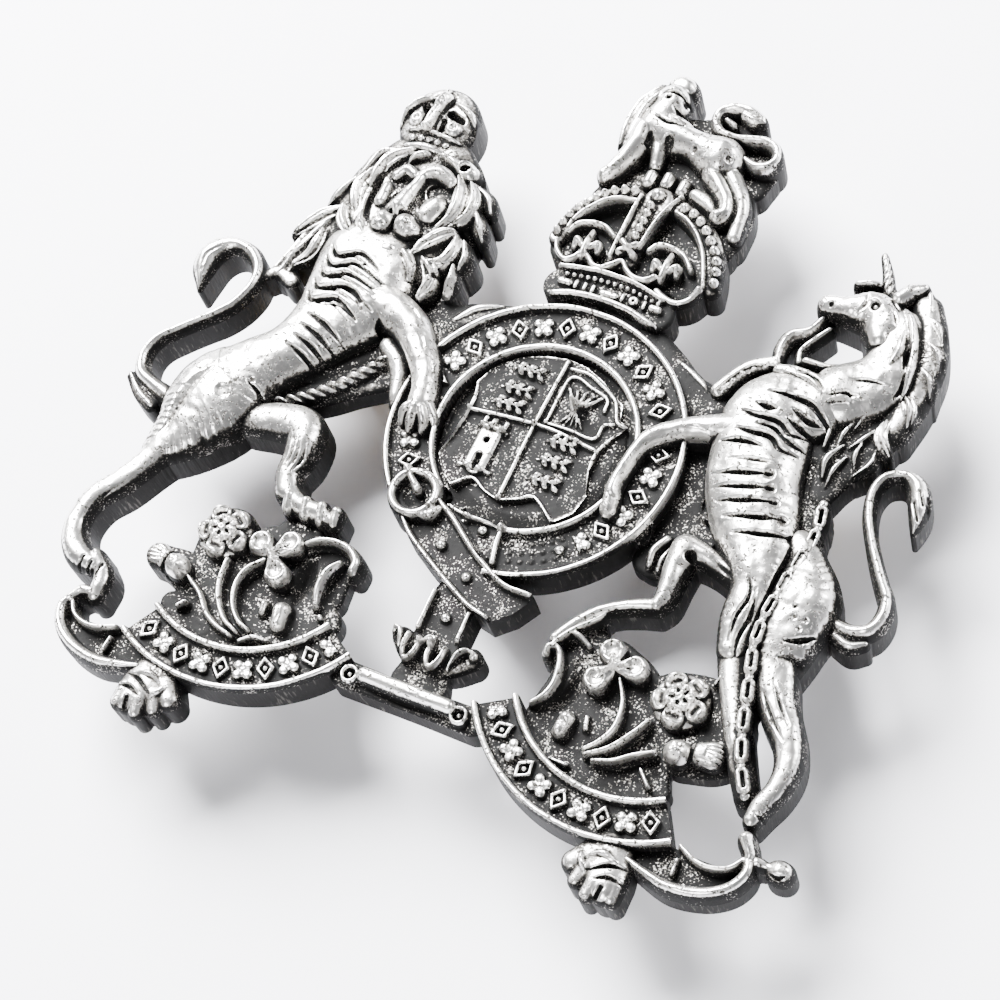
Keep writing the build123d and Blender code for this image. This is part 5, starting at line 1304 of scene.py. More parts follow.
@dataclass(frozen=True)
class Scrolls:
    """The two lower scrolls with their folds, hanging leaves, flowers on stems and the bar that ties them."""

    centre_x: float = 13.9
    centre_y: float = -12.4
    outer: float = 11.3
    inner: float = 8.2
    ground: float = 2.3
    starts: float = -121.0
    ends: float = -31.5

    def band(self) -> Relief:
        """The left scroll's band: two rounded borders with the plain running ornament between them."""
        r = Relief(self.ground, ground=self.ground)
        x, y = np.meshgrid(XS, YS)
        dx, dy = x + self.centre_x, y - self.centre_y
        radius = np.hypot(dx, dy)
        degrees = np.degrees(np.arctan2(dy, dx))
        ends = np.minimum(degrees - self.starts, self.ends - degrees) * math.pi / 180 * radius
        Belt(ground=self.ground, rim=0.66, rim_width=0.46)._bands(
            r, np.minimum.reduce([self.outer - radius, radius - self.inner,
                                  ends]), self.outer - radius, radius - self.inner
        )
        middle = 0.5 * (self.outer + self.inner)
        r.height += np.where(ends > 0.5, 0.46 * ornament(np.radians(degrees) * middle, radius - middle, 1.5),
                             0)
        return r

    def fold(self, right: bool) -> Relief:
        """A scroll's outer end, which curls under and up again. The right-hand one ends in a knob.

        Args:
            right: whether it belongs to the right-hand scroll.

        Returns:
            The relief.
        """
        r = Relief(1.5)
        r.limb([(-23.0, -22.9, 0.9, 1.8), (-21.4, -23.2, 1.2, 1.8), (-19.6, -23.2, 1.3, 1.8),
                (-18.4, -23.2, 0.9, 1.8)], round_=8)
        r.limb([(-24.0, -21.3, 0.3, 2.7), (-23.4, -22.1, 0.26, 2.8), (-22.4, -22.5, 0.26, 2.9),
                (-21.4, -22.45, 0.26, 2.9), (-20.2, -21.9, 0.2, 2.8)], blend=0.0)
        r.limb(
            [(-24.2, -21.0, 0.45, 2.8), (-24.5, -22.0, 0.5, 2.9), (-23.9, -23.2, 0.5, 2.9),
             (-22.5, -24.1, 0.5, 2.9), (-20.5, -24.5, 0.48, 2.9),
             (-18.8, -24.2, 0.4, 2.8), (-17.5, -23.8, 0.28, 2.6)], blend=0.0,
        )
        if right:
            r.limb([(-23.7, -20.1, 0.62, 3.4), (-24.3, -20.9, 0.5, 3.0)])
            r.limb([(-24.8, -21.1, 0.5, 2.7), (-25.5, -21.1, 0.42, 2.5), (-26.1, -21.1, 0.8, 2.8),
                    (-26.4, -21.1, 0.8, 2.8)])
            r.ridge([(-25.7, -21.5), (-26.3, -21.6), (-26.8, -21.3)], 0.3, -0.5)
        else:
            r.limb([(-23.0, -20.4, 0.55, 3.0), (-23.7, -20.5, 0.55, 3.0), (-24.2, -21.2, 0.45, 2.9)])
        r.ridge([(-20.3, -22.7), (-20.35, -23.6)], 0.34, 0.7)
        return r.mirrored() if right else r

    def leaf(self, right: bool) -> Relief:
        """A drooping leaf under a scroll, with two lobes and veins.

        Args:
            right: whether it belongs to the right-hand scroll.

        Returns:
            The relief.
        """
        r = Relief(1.9, (-0.2, 0.2))
        r.limb([(-16.0, -24.2, 1.7, 2.7), (-16.5, -25.4, 1.5, 2.9), (-16.8, -26.3, 0.95, 2.9)])
        r.limb([(-15.0, -24.6, 1.0, 2.7), (-14.3, -25.3, 0.8, 2.7)])
        r.limb([(-17.3, -25.6, 0.7, 2.8), (-17.4, -26.6, 0.6, 2.7)], blend=0.0)
        r.limb([(-16.1, -26.0, 0.75, 2.9), (-15.9, -26.9, 0.55, 2.7)], blend=0.0)
        r.limb([(-15.2, -25.4, 0.8, 2.8), (-14.9, -26.3, 0.55, 2.6)], blend=0.0)
        for points, rise in (
            ([(-17.6, -24.7), (-16.6, -24.9), (-15.4, -25.6)], -0.5),
            ([(-17.9, -25.7), (-16.9, -25.6), (-15.9, -26.0)], -0.45),
            ([(-16.6, -26.9), (-16.7, -26.3)], -0.5),
            ([(-16.9, -24.5), (-16.0, -24.3), (-15.2, -24.6)], 0.35),
            ([(-15.4, -25.8), (-14.9, -25.2), (-14.6, -24.6)], 0.35),
        ):
            r.ridge(points, 0.4, rise)
        return r.mirrored() if right else r

    def _ground(self, limbs: list[Points], deep: list[Points]) -> Relief:
        """Sunk ground drawn by limbs, cut deeper along some paths.

        Args:
            limbs: the broad limbs that make up the ground.
            deep: the paths that are cut deeper.

        Returns:
            The relief.
        """
        r = Relief(1.2, (-0.1, 0.1), ground=1.75)
        for limb in limbs:
            r.limb(limb, round_=9)
        for path in deep:
            r.ridge(path[1:], path[0][0], path[0][1], round_=4)
        return r

    def _stem(self, r: Relief, path: list[tuple[float, float]], top: float = 2.7) -> None:
        """A flower's stem: a round rib on the sunk ground that thins towards both ends."""
        last = len(path) - 1
        r.limb([(x, y, 0.26 - 0.1 * abs(2 * k / last - 1) ** 2, top) for k, (x, y) in enumerate(path)],
               blend=0.05)

    def ground_left(self) -> Relief:
        """The left ground with its stems, a small leaf and the ribbon's curl at its right."""
        r = self._ground(
            [
                [(-16.7, -13.1, 2.0, 1.6), (-16.2, -15.6, 2.0, 1.5), (-14.4, -18.0, 2.0, 1.5),
                 (-12.4, -18.8, 1.9, 1.5)],
                [(-19.9, -16.2, 1.0, 1.6), (-18.4, -16.4, 1.3, 1.6), (-16.8, -17.0, 1.6, 1.5)],
                [(-18.0, -18.8, 0.8, 1.5), (-16.8, -19.2, 0.9, 1.5), (-15.2, -19.5, 0.9, 1.5)],
                [(-13.4, -12.9, 1.6, 1.6), (-12.2, -12.4, 1.5, 1.5), (-10.6, -13.0, 1.5, 1.4),
                 (-8.8, -13.0, 1.3, 1.5), (-8.2, -14.8, 1.1, 1.5)],
                [(-13.0, -15.4, 2.4, 1.5), (-10.8, -15.2, 2.3, 1.4), (-9.2, -16.6, 1.8, 1.5),
                 (-7.7, -16.6, 1.3, 1.6)],
                [(-12.7, -11.6, 1.1, 1.6), (-11.4, -11.3, 1.0, 1.6)],
                [(-17.2, -19.8, 0.8, 1.5), (-14.8, -20.2, 0.9, 1.5), (-12.6, -20.2, 0.9, 1.5),
                 (-9.7, -19.2, 1.0, 1.5), (-8.0, -18.0, 0.7, 1.5)],
            ],
            [[(1.6, -0.8), (-10.2, -12.9), (-10.2, -14.4), (-10.1, -16.0)]],
        )
        self._stem(r, [(-17.3, -17.1), (-16.0, -17.9), (-15.0, -18.9), (-13.9, -19.5), (-12.7, -19.8)])
        self._stem(r, [(-15.4, -15.0), (-15.2, -16.5), (-14.6, -17.8), (-13.6, -18.9), (-12.5, -19.4)])
        self._stem(r, [(-12.9, -14.2), (-13.8, -15.2), (-14.0, -16.5), (-13.5, -17.8), (-12.6, -18.7),
                       (-11.8, -19.0)])
        r.limb([(-10.3, -17.0, 0.75, 2.8), (-10.1, -17.9, 0.65, 2.7)], blend=0.0)
        r.limb([(-11.7, -16.9, 0.35, 2.3), (-11.6, -17.5, 0.3, 2.2)], blend=0.0)
        r.limb([(-12.0, -19.9, 0.15, 2.4), (-11.2, -19.35, 0.2, 2.5), (-10.2, -19.2, 0.16, 2.4)], blend=0.0)
        r.limb([(-17.1, -19.2, 0.16, 2.5), (-16.7, -18.7, 0.2, 2.5)], blend=0.0)
        r.ridge([(-10.6, -16.6), (-10.2, -17.5), (-10.2, -18.2)], 0.16, -0.3)
        r.limb(
            [(-10.9, -12.2, 0.22, 2.6), (-10.1, -11.7, 0.28, 2.8), (-9.0, -11.45, 0.32, 2.9),
             (-7.9, -11.6, 0.4, 2.9), (-7.1, -12.2, 0.5, 2.9),
             (-7.0, -12.9, 0.5, 2.9)], blend=0.05,
        )
        r.limb([(-8.1, -12.6, 0.2, 2.6), (-8.6, -13.5, 0.34, 2.8), (-8.65, -14.8, 0.4, 2.8),
                (-8.3, -15.9, 0.3, 2.6)], blend=0.05)
        r.limb([(-7.8, -16.4, 0.26, 2.2), (-7.7, -16.5, 0.26, 2.2)], blend=0.0)
        return r

    def ground_right(self) -> Relief:
        """The right ground with its stems, a small leaf and the ribbon's curl at its left."""
        r = self._ground(
            [
                [(11.2, -12.3, 1.6, 1.6), (12.8, -12.8, 1.5, 1.5), (14.4, -13.8, 1.6, 1.5),
                 (16.2, -13.2, 2.0, 1.6), (18.4, -12.6, 1.6, 1.6), (19.2, -13.8, 1.6, 1.6)],
                [(17.8, -16.3, 1.4, 1.6), (19.6, -15.8, 1.4, 1.6), (20.4, -15.0, 1.3, 1.5)],
                [(16.0, -16.4, 1.9, 1.5), (14.4, -17.8, 2.0, 1.5), (12.4, -18.6, 1.9, 1.5)],
                [(16.6, -18.4, 1.2, 1.5), (17.4, -19.1, 0.7, 1.5)],
                [(12.6, -15.4, 2.5, 1.5), (10.4, -15.2, 2.0, 1.4), (9.6, -17.0, 1.7, 1.5),
                 (8.0, -17.1, 0.6, 1.6)],
                [(9.4, -11.6, 1.2, 1.6), (8.5, -12.7, 0.8, 1.6), (8.6, -14.6, 0.8, 1.6),
                 (8.2, -16.4, 0.7, 1.6)],
                [(9.3, -10.6, 0.7, 1.6), (8.2, -12.0, 0.6, 1.6), (7.5, -13.2, 0.5, 1.6)],
                [(17.4, -19.7, 0.8, 1.5), (14.8, -20.1, 0.9, 1.5), (12.6, -20.1, 0.9, 1.5),
                 (9.7, -19.1, 1.0, 1.5), (8.0, -18.0, 0.7, 1.5)],
                [(8.8, -12.2, 0.8, 1.5), (9.6, -13.4, 0.8, 1.5)],
            ],
            [[(1.0, -0.4), (9.7, -13.4), (9.7, -15.0), (9.2, -16.6)]],
        )
        self._stem(r, [(12.4, -13.5), (13.2, -14.9), (13.4, -16.5), (12.9, -17.7), (12.2, -18.5)])
        self._stem(r, [(15.2, -15.3), (14.6, -16.5), (13.6, -17.9), (12.4, -18.8)])
        self._stem(r, [(16.4, -17.1), (15.2, -17.8), (14.3, -18.5), (13.0, -19.0)])
        r.limb([(10.3, -17.0, 0.62, 2.8), (10.2, -17.9, 0.58, 2.7)], blend=0.0)
        r.limb([(11.4, -16.4, 0.2, 2.2), (11.6, -17.1, 0.25, 2.2)], blend=0.0)
        r.limb([(16.0, -18.4, 0.16, 2.5), (16.8, -19.2, 0.2, 2.5)], blend=0.0)
        r.limb([(10.4, -19.75, 0.2, 2.3), (11.5, -19.75, 0.2, 2.3)], blend=0.0)
        r.bead(10.25, -17.4, 0.3, -0.2)
        r.limb(
            [(7.3, -13.6, 0.36, 2.8), (7.35, -13.1, 0.3, 2.9), (7.9, -13.0, 0.28, 2.9),
             (8.4, -13.8, 0.32, 2.9), (8.65, -15.0, 0.34, 2.9),
             (8.45, -16.1, 0.3, 2.8), (7.8, -16.9, 0.22, 2.6)], blend=0.05,
        )
        r.limb([(9.8, -9.9, 0.25, 2.8), (9.0, -10.8, 0.26, 2.8), (8.3, -11.6, 0.26, 2.9),
                (7.7, -12.5, 0.26, 2.9), (7.3, -13.3, 0.26, 2.8)], blend=0.0)
        r.limb([(8.0, -11.7, 0.22, 2.7), (8.8, -11.75, 0.28, 2.8), (9.6, -12.1, 0.2, 2.6)], blend=0.0)
        r.limb([(18.2, -11.1, 0.22, 2.6), (18.0, -11.6, 0.2, 2.4)], blend=0.0)
        return r

    def rose(self, right: bool) -> Relief:
        """A five-petalled flower: rolled petal edges, an inner ring of five and a button.

        Args:
            right: whether it belongs to the right-hand scroll.

        Returns:
            The relief.
        """
        r = Relief(1.9)
        x, y = (16.4, -13.3) if right else (-16.7, -13.2)
        r.limb([(x, y, 1.85, 2.35), (x + 0.01, y, 1.85, 2.35)], round_=6)
        for k in range(5):
            angle = math.radians(90 + 36 + 72 * k)
            cx, cy = x + 1.2 * math.cos(angle), y + 1.2 * math.sin(angle)
            r.limb([(cx, cy, 0.78, 3.05), (cx + 0.01, cy, 0.78, 3.05)], round_=3, blend=0.0)
            r.ridge([(cx - 0.3 * math.sin(angle), cy + 0.3 * math.cos(angle)),
                     (cx + 0.3 * math.sin(angle), cy - 0.3 * math.cos(angle))], 0.75, -0.6)
        r.limb([(x, y, 0.8, 2.6), (x + 0.01, y, 0.8, 2.6)], round_=5, blend=0.0)
        for k in range(5):
            inner = math.radians(90 + 72 * k)
            r.bead(x + 0.62 * math.cos(inner), y + 0.62 * math.sin(inner), 0.36, 0.55)
        r.bead(x, y, 0.34, 0.7)
        r.bead(x, y, 0.12, -0.25)
        return r

    def thistle(self, right: bool) -> Relief:
        """A thistle head: a scaly ball and a ribbed tuft.

        Args:
            right: whether it belongs to the right-hand scroll.

        Returns:
            The relief.
        """
        r = Relief(1.9)
        side = 1 if right else -1
        ball, tuft = ((17.7, -16.5), (19.6, -15.9)) if right else ((-18.5, -16.6), (-20.1, -16.3))
        r.limb([(*tuft, 0.95, 2.9), (tuft[0] - side * 0.6, tuft[1] - 0.15, 0.8, 2.9)], round_=3)
        r.limb([(*ball, 0.85, 3.5), (ball[0] - side * 0.2, ball[1] - 0.05, 0.82, 3.5)], blend=0.0)
        r.ridge([(ball[0] + side * 0.85, ball[1] - 0.6), (ball[0] + side * 0.75, ball[1] + 0.8)], 0.3, -0.5)
        for k in (-0.5, -0.15, 0.2, 0.55):
            r.ridge([(tuft[0] - side * 0.3, tuft[1] + 0.6 * k), (tuft[0] + side * 0.75, tuft[1] + k)], 0.14,
                    -0.3)
        for dx, dy in ((-0.3, 0.3), (0.2, 0.35), (-0.05, -0.1), (0.35, -0.25), (-0.4, -0.35)):
            r.bead(ball[0] + dx, ball[1] + dy, 0.2, 0.12)
        return r

    def shamrock(self, right: bool) -> Relief:
        """Three hollow leaves round one centre.

        Args:
            right: whether it belongs to the right-hand scroll.

        Returns:
            The relief.
        """
        r = Relief(1.9)
        leaves = ((-13.7, -13.2), (-11.95, -12.6), (-11.95, -14.6))
        if right:
            leaves = ((11.2, -12.0), (12.8, -12.5), (11.0, -13.85))
        cx, cy = (11.75, -12.9) if right else (-12.65, -13.75)
        for x, y in leaves:
            lean = math.atan2(y - cy, x - cx)
            tip_x, tip_y = x + 0.12 * math.cos(lean), y + 0.12 * math.sin(lean)
            r.limb([(cx, cy, 0.35, 2.8), (tip_x, tip_y, 0.92, 3.05)], round_=4, blend=0.0)
            r.bead(tip_x, tip_y, 0.56, -0.42)
            r.ridge([(cx, cy), (0.5 * (x + cx), 0.5 * (y + cy)), (x, y)], 0.24, 0.5)
        r.bead(cx, cy, 0.3, 0.35)
        return r

    def tie_bar(self) -> Relief:
        """The round bar between the scrolls, with a riveted eye at each end."""
        r = Relief(1.8)
        r.limb([(-4.6, -19.2, 0.95, 2.1), (0.1, -19.2, 0.9, 2.1), (4.7, -19.2, 0.95, 2.1)], round_=9)
        r.limb([(-3.0, -19.05, 0.55, 3.2), (0.1, -19.05, 0.58, 3.2), (3.1, -19.05, 0.55, 3.2)], round_=3,
               blend=0.0)
        for x in (-3.95, 3.9):
            eye: Points = [(x + 0.5 * math.cos(t), -19.3 + 0.5 * math.sin(t), 0.17, 2.8)
                           for t in np.linspace(0, 2 * math.pi, 9)]
            r.limb(eye, blend=0.0)
            r.bead(x, -19.3, 0.22, 0.5)
        r.ridge([(-3.2, -19.75), (0.1, -19.85), (3.2, -19.75)], 0.3, -0.5)
        return r

    def pieces(self) -> list[tuple[str, Relief, tuple[str, ...]]]:
        """Each piece's name, its relief and the solids that it stands for."""
        band = self.band()
        named: list[tuple[str, Relief, tuple[str, ...]]] = [
            ("scroll_left", band, ("scroll_left",)),
            ("scroll_right", band.mirrored(), ("scroll_right",)),
            ("flower_ground_left", self.ground_left(), ("flower_ground_left",)),
            ("flower_ground_right", self.ground_right(), ("flower_ground_right",)),
            ("tie_bar", self.tie_bar(), ("tie_bar",)),
        ]
        for right, side in ((False, "left"), (True, "right")):
            for name, build in (("fold", self.fold), ("leaf", self.leaf), ("rose", self.rose),
                                ("thistle", self.thistle), ("shamrock", self.shamrock)):
                named.append((f"{name}_{side}", build(right), (f"{name}_{side}",)))
        return named


def srgb(code: str) -> tuple[float, float, float, float]:
    """Turns an sRGB hex code into linear red, green, blue and alpha.

    Args:
        code: such as "#e8e6e1".

    Returns:
        The four linear values.
    """
    parts = [int(code[i : i + 2], 16) / 255 for i in (1, 3, 5)]
    linear = [p / 12.92 if p <= 0.04045 else ((p + 0.055) / 1.055) ** 2.4 for p in parts]
    return linear[0], linear[1], linear[2], 1.0


def per_mm(size_mm: float) -> float:
    """The texture scale that gives features of size_mm millimetres in object coordinates of metres."""
    return 1.0 / (size_mm * MM)


class Shader:
    """A material's node tree, with a short way to add nodes."""

    def __init__(self, name: str) -> None:
        """Starts a material that holds only its principled shader.

        Args:
            name: what the material is.
        """
        self.material = bpy.data.materials.new(name)
        self.material.use_nodes = True
        self.tree = self.material.node_tree
        self.bsdf = next(n for n in self.tree.nodes if n.type == "BSDF_PRINCIPLED")

    def add(self, kind: str, settings: dict[str, object] | None = None, **sockets: object) -> bpy.types.Node:
        """Adds a node, sets its properties, and fills or links its inputs.

        Args:
            kind: the node's type name without "ShaderNode".
            settings: properties of the node.
            sockets: input name, with _ for a space and a trailing number for its place, to a value or an
                output.

        Returns:
            The node.
        """
        node = self.tree.nodes.new("ShaderNode" + kind)
        for key, value in (settings or {}).items():
            setattr(node, key, value)
        for key, value in sockets.items():
            socket = node.inputs[int(key[1:])] if key[1:].isdigit() else node.inputs[key.replace("_", " ")]
            self.put(socket, value)
        return node

    def put(self, socket: bpy.types.NodeSocket, value: object) -> None:
        """Links value to socket if it is an output, and sets it otherwise."""
        if isinstance(value, bpy.types.NodeSocket):
            self.tree.links.new(value, socket)
        else:
            socket.default_value = value

    def noise(self, size_mm: float, detail: float = 3.0, vector: object = None) -> bpy.types.NodeSocket:
        """Noise with features of size_mm, from 0 to 1, on object coordinates unless given another vector."""
        vector = vector or self.add("TexCoord").outputs["Object"]
        return self.add("TexNoise", Vector=vector, Scale=per_mm(size_mm), Detail=detail).outputs["Fac"]

    def ramp(self, value: object, low: float, high: float, to_low: float = 0.0,
             to_high: float = 1.0) -> bpy.types.NodeSocket:
        """Eases value from low..high to to_low..to_high."""
        node = self.add("MapRange", {"interpolation_type": "SMOOTHSTEP"}, Value=value, From_Min=low,
                        From_Max=high, To_Min=to_low, To_Max=to_high)
        return node.outputs["Result"]

    def math(self, operation: str, a: object, b: object) -> bpy.types.NodeSocket:
        """One arithmetic step on two values."""
        return self.add("Math", {"operation": operation}, _0=a, _1=b).outputs["Value"]

    def spread(self, value: object, share: float) -> bpy.types.NodeSocket:
        """Turns a value from 0 to 1 into one from -share / 2 to share / 2."""
        return self.math("MULTIPLY", self.math("SUBTRACT", value, 0.5), share)

    def finish(self, roughness: object, metallic: object, normal: object) -> bpy.types.Material:
        """Sets roughness, metallic and normal, and returns the finished material."""
        for name, value in (("Roughness", roughness), ("Metallic", metallic), ("Normal", normal)):
            self.put(self.bsdf.inputs[name], value)
        return self.material

    def mix(self, factor: object, a: object, b: object) -> bpy.types.NodeSocket:
        """Blends two colours.

        Args:
            factor: 0 for the first, 1 for the second.
            a: the first colour.
            b: the second colour.

        Returns:
            The blended colour.
        """
        node = self.add("Mix", {"data_type": "RGBA"})
        self.put(node.inputs[0], factor)
        self.put(node.inputs[6], a)
        self.put(node.inputs[7], b)
        return node.outputs[2]

    def bump(self, height: object, depth_mm: float, normal: object = None) -> bpy.types.NodeSocket:
        """A fine unevenness of the surface.

        Args:
            height: the pattern.
            depth_mm: how deep it is.
            normal: a coarser unevenness that it lies on, if any.

        Returns:
            The uneven normal.
        """
        node = self.add("Bump", Height=height, Distance=depth_mm * MM, Strength=1.0)
        if normal is not None:
            self.put(node.inputs["Normal"], normal)
        return node.outputs["Normal"]


@dataclass(frozen=True)
class CastMetal:
    """Antiqued cast white metal: worn bright on high places, dark oxide with painted shade in creases, with
    fine pits.
    """

    bright: str = "#f1efec"
    # The grey of half-dark places: partly worn oxide and partly painted shade.
    worn_and_half_shade_tone: str = "#66635f"
    # The near-black of full-dark places: oxide in the hollows together with painted shade in creases,
    # recesses and on steep sides.
    oxide_and_shade_tone: str = "#080808"
    bright_roughness: float = 0.29
    oxide_roughness: float = 0.65
    oxide_shine: float = 0.1  # the oxide is dull, so it reflects little
    grain_mm: float = 0.22
    mottle_mm: float = 1.3
    cast_mm: float = 0.5
    speckle_mm: float = 0.13
    mottle_share: float = 0.3  # how far the mottle moves the edge of the oxide and painted shade, in mm of depth
    grain_share: float = 0.5
    dark_from: float = -0.1  # the depth in mm at which the oxide and painted shade begin
    dark_to: float = 0.32  # and at which they are full
    speckle_bright: float = 0.6  # how much oxide a speck of bare metal takes away
    pit_dark: float = 0.75
    cast_depth: float = 0.018
    grain_depth: float = 0.012

    def build(self) -> bpy.types.Material:
        """Makes the material. The depth attribute says in mm how far a point lies below those round it, and
        sets both the oxide and the painted shade in creases, recesses and on steep sides.
        """
        s = Shader("cast_white_metal")
        oxide_and_shade_depth = s.add("Attribute", {"attribute_name": "oxide_and_shade_depth"}).outputs["Fac"]
        mottle = s.noise(self.mottle_mm, 4.0)
        grain = s.noise(self.grain_mm, 3.0)
        uneven = s.math("ADD", s.spread(mottle, self.mottle_share), s.spread(grain, self.grain_share))
        # One mask for the oxide and for the painted shade in creases, recesses and on steep sides.
        dark = s.ramp(s.math("ADD", oxide_and_shade_depth, uneven), self.dark_from, self.dark_to)
        specks = s.math("ADD", s.noise(self.speckle_mm, 2.0), s.spread(mottle, 0.7))
        bared = s.math("MULTIPLY", s.ramp(specks, 0.58, 0.7), self.speckle_bright)
        dark = s.math("MULTIPLY", dark, s.math("SUBTRACT", 1.0, bared))
        pits = s.ramp(s.math("ADD", grain, s.math("MULTIPLY", mottle, 0.35)), 0.76, 0.82)
        dark = s.math("MAXIMUM", dark, s.math("MULTIPLY", pits, self.pit_dark))
        half = s.mix(s.ramp(dark, 0.0, 0.5), srgb(self.bright), srgb(self.worn_and_half_shade_tone))
        s.put(s.bsdf.inputs["Base Color"], s.mix(s.ramp(dark, 0.35, 1.0), half, srgb(self.oxide_and_shade_tone)))
        s.put(s.bsdf.inputs["Specular IOR Level"], self.oxide_shine)
        rougher = s.math("MULTIPLY", dark, self.oxide_roughness - self.bright_roughness)
        rough_cast = s.bump(s.noise(self.cast_mm, 4.0), self.cast_depth)
        pitted = s.bump(s.math("ADD", s.math("MULTIPLY", pits, -1.0), grain), self.grain_depth, rough_cast)
        roughness = s.math("ADD", self.bright_roughness, rougher)
        return s.finish(roughness, s.ramp(dark, 0.35, 0.95, 1.0, 0.0), pitted)


@dataclass(frozen=True)
class FiledSide:
    """The casting's upright sides: dark oxide with fine upright file marks that show a little bare metal."""

    dark: str = "#0c0b0b"
    light: str = "#4c4a47"
    mark_mm: float = 0.16
    drawn_out: float = 0.12  # the pattern's scale along z, which stretches the marks upright
    patch_mm: float = 2.4
    patch_share: float = 0.6
    roughness: float = 0.62
    oxide_shine: float = 0.12
    mark_depth: float = 0.03

    def build(self) -> bpy.types.Material:
        """Makes the material."""
        s = Shader("filed_dark_side")
        coords = s.add("TexCoord").outputs["Object"]
        upright = s.add("Mapping", Vector=coords, Scale=(1.0, 1.0, self.drawn_out)).outputs["Vector"]
        marks = s.noise(self.mark_mm, 3.0, upright)
        patches = s.noise(self.patch_mm, 2.0, coords)
        bare = s.ramp(s.math("ADD", marks, s.spread(patches, self.patch_share)), 0.6, 0.78)
        s.put(s.bsdf.inputs["Base Color"], s.mix(bare, srgb(self.dark), srgb(self.light)))
        s.put(s.bsdf.inputs["Specular IOR Level"], self.oxide_shine)
        return s.finish(self.roughness, bare, s.bump(marks, self.mark_depth))


@dataclass(frozen=True)
class FlatBack:
    """The casting's flat back: dull grey, sand-textured metal with broad darker stains."""

    colour: str = "#8f8c87"
    stain: str = "#4a4744"
    stain_mm: float = 5.0
    sand_mm: float = 0.25
    sand_depth: float = 0.03
    roughness: float = 0.48
    metallic: float = 0.9  # a thin grey film dulls the bare metal

    def build(self) -> bpy.types.Material:
        """Makes the material."""
        s = Shader("sand_cast_back")
        stain = s.ramp(s.noise(self.stain_mm, 4.0), 0.4, 0.7)
        s.put(s.bsdf.inputs["Base Color"], s.mix(stain, srgb(self.colour), srgb(self.stain)))
        return s.finish(self.roughness, self.metallic, s.bump(s.noise(self.sand_mm, 4.0), self.sand_depth))


@dataclass(frozen=True)
class PlainMetal:
    """Drawn wire or solder: one metal with a little tarnish."""

    name: str
    colour: str
    tarnish: str
    roughness: float
    tarnish_mm: float = 1.6
    skin_mm: float = 0.3
    skin_depth: float = 0.008

    def build(self) -> bpy.types.Material:
        """Makes the material."""
        s = Shader(self.name)
        tarnish = s.ramp(s.noise(self.tarnish_mm, 4.0), 0.42, 0.72)
        s.put(s.bsdf.inputs["Base Color"], s.mix(tarnish, srgb(self.colour), srgb(self.tarnish)))
        return s.finish(self.roughness, 1.0, s.bump(s.noise(self.skin_mm, 3.0), self.skin_depth))


@dataclass(frozen=True)
class PaleFloor:
    """A plain pale studio floor."""

    colour: str = "#e9e9ee"

    def build(self) -> bpy.types.Material:
        """Makes the material."""
        s = Shader("pale_studio_floor")
        s.put(s.bsdf.inputs["Base Color"], srgb(self.colour))
        s.put(s.bsdf.inputs["Roughness"], 0.9)
        return s.material


def new_object(name: str, verts_mm: np.ndarray, faces: list[list[int]] | np.ndarray,
               materials: list[bpy.types.Material]) -> bpy.types.Object:
    """Makes a smooth-shaded mesh object at the origin from millimetre vertices.

    Args:
        name: the object's name.
        verts_mm: rows of x, y and z.
        faces: each face's vertex numbers.
        materials: its material slots.

    Returns:
        The object, linked to the scene.
    """
    mesh = bpy.data.meshes.new(name)
    mesh.from_pydata((verts_mm * MM).tolist(), [], faces if isinstance(faces, list) else faces.tolist())
    mesh.update()
    mesh.shade_smooth()
    for material in materials:
        mesh.materials.append(material)
    obj = bpy.data.objects.new(name, mesh)
    bpy.context.scene.collection.objects.link(obj)
    return obj


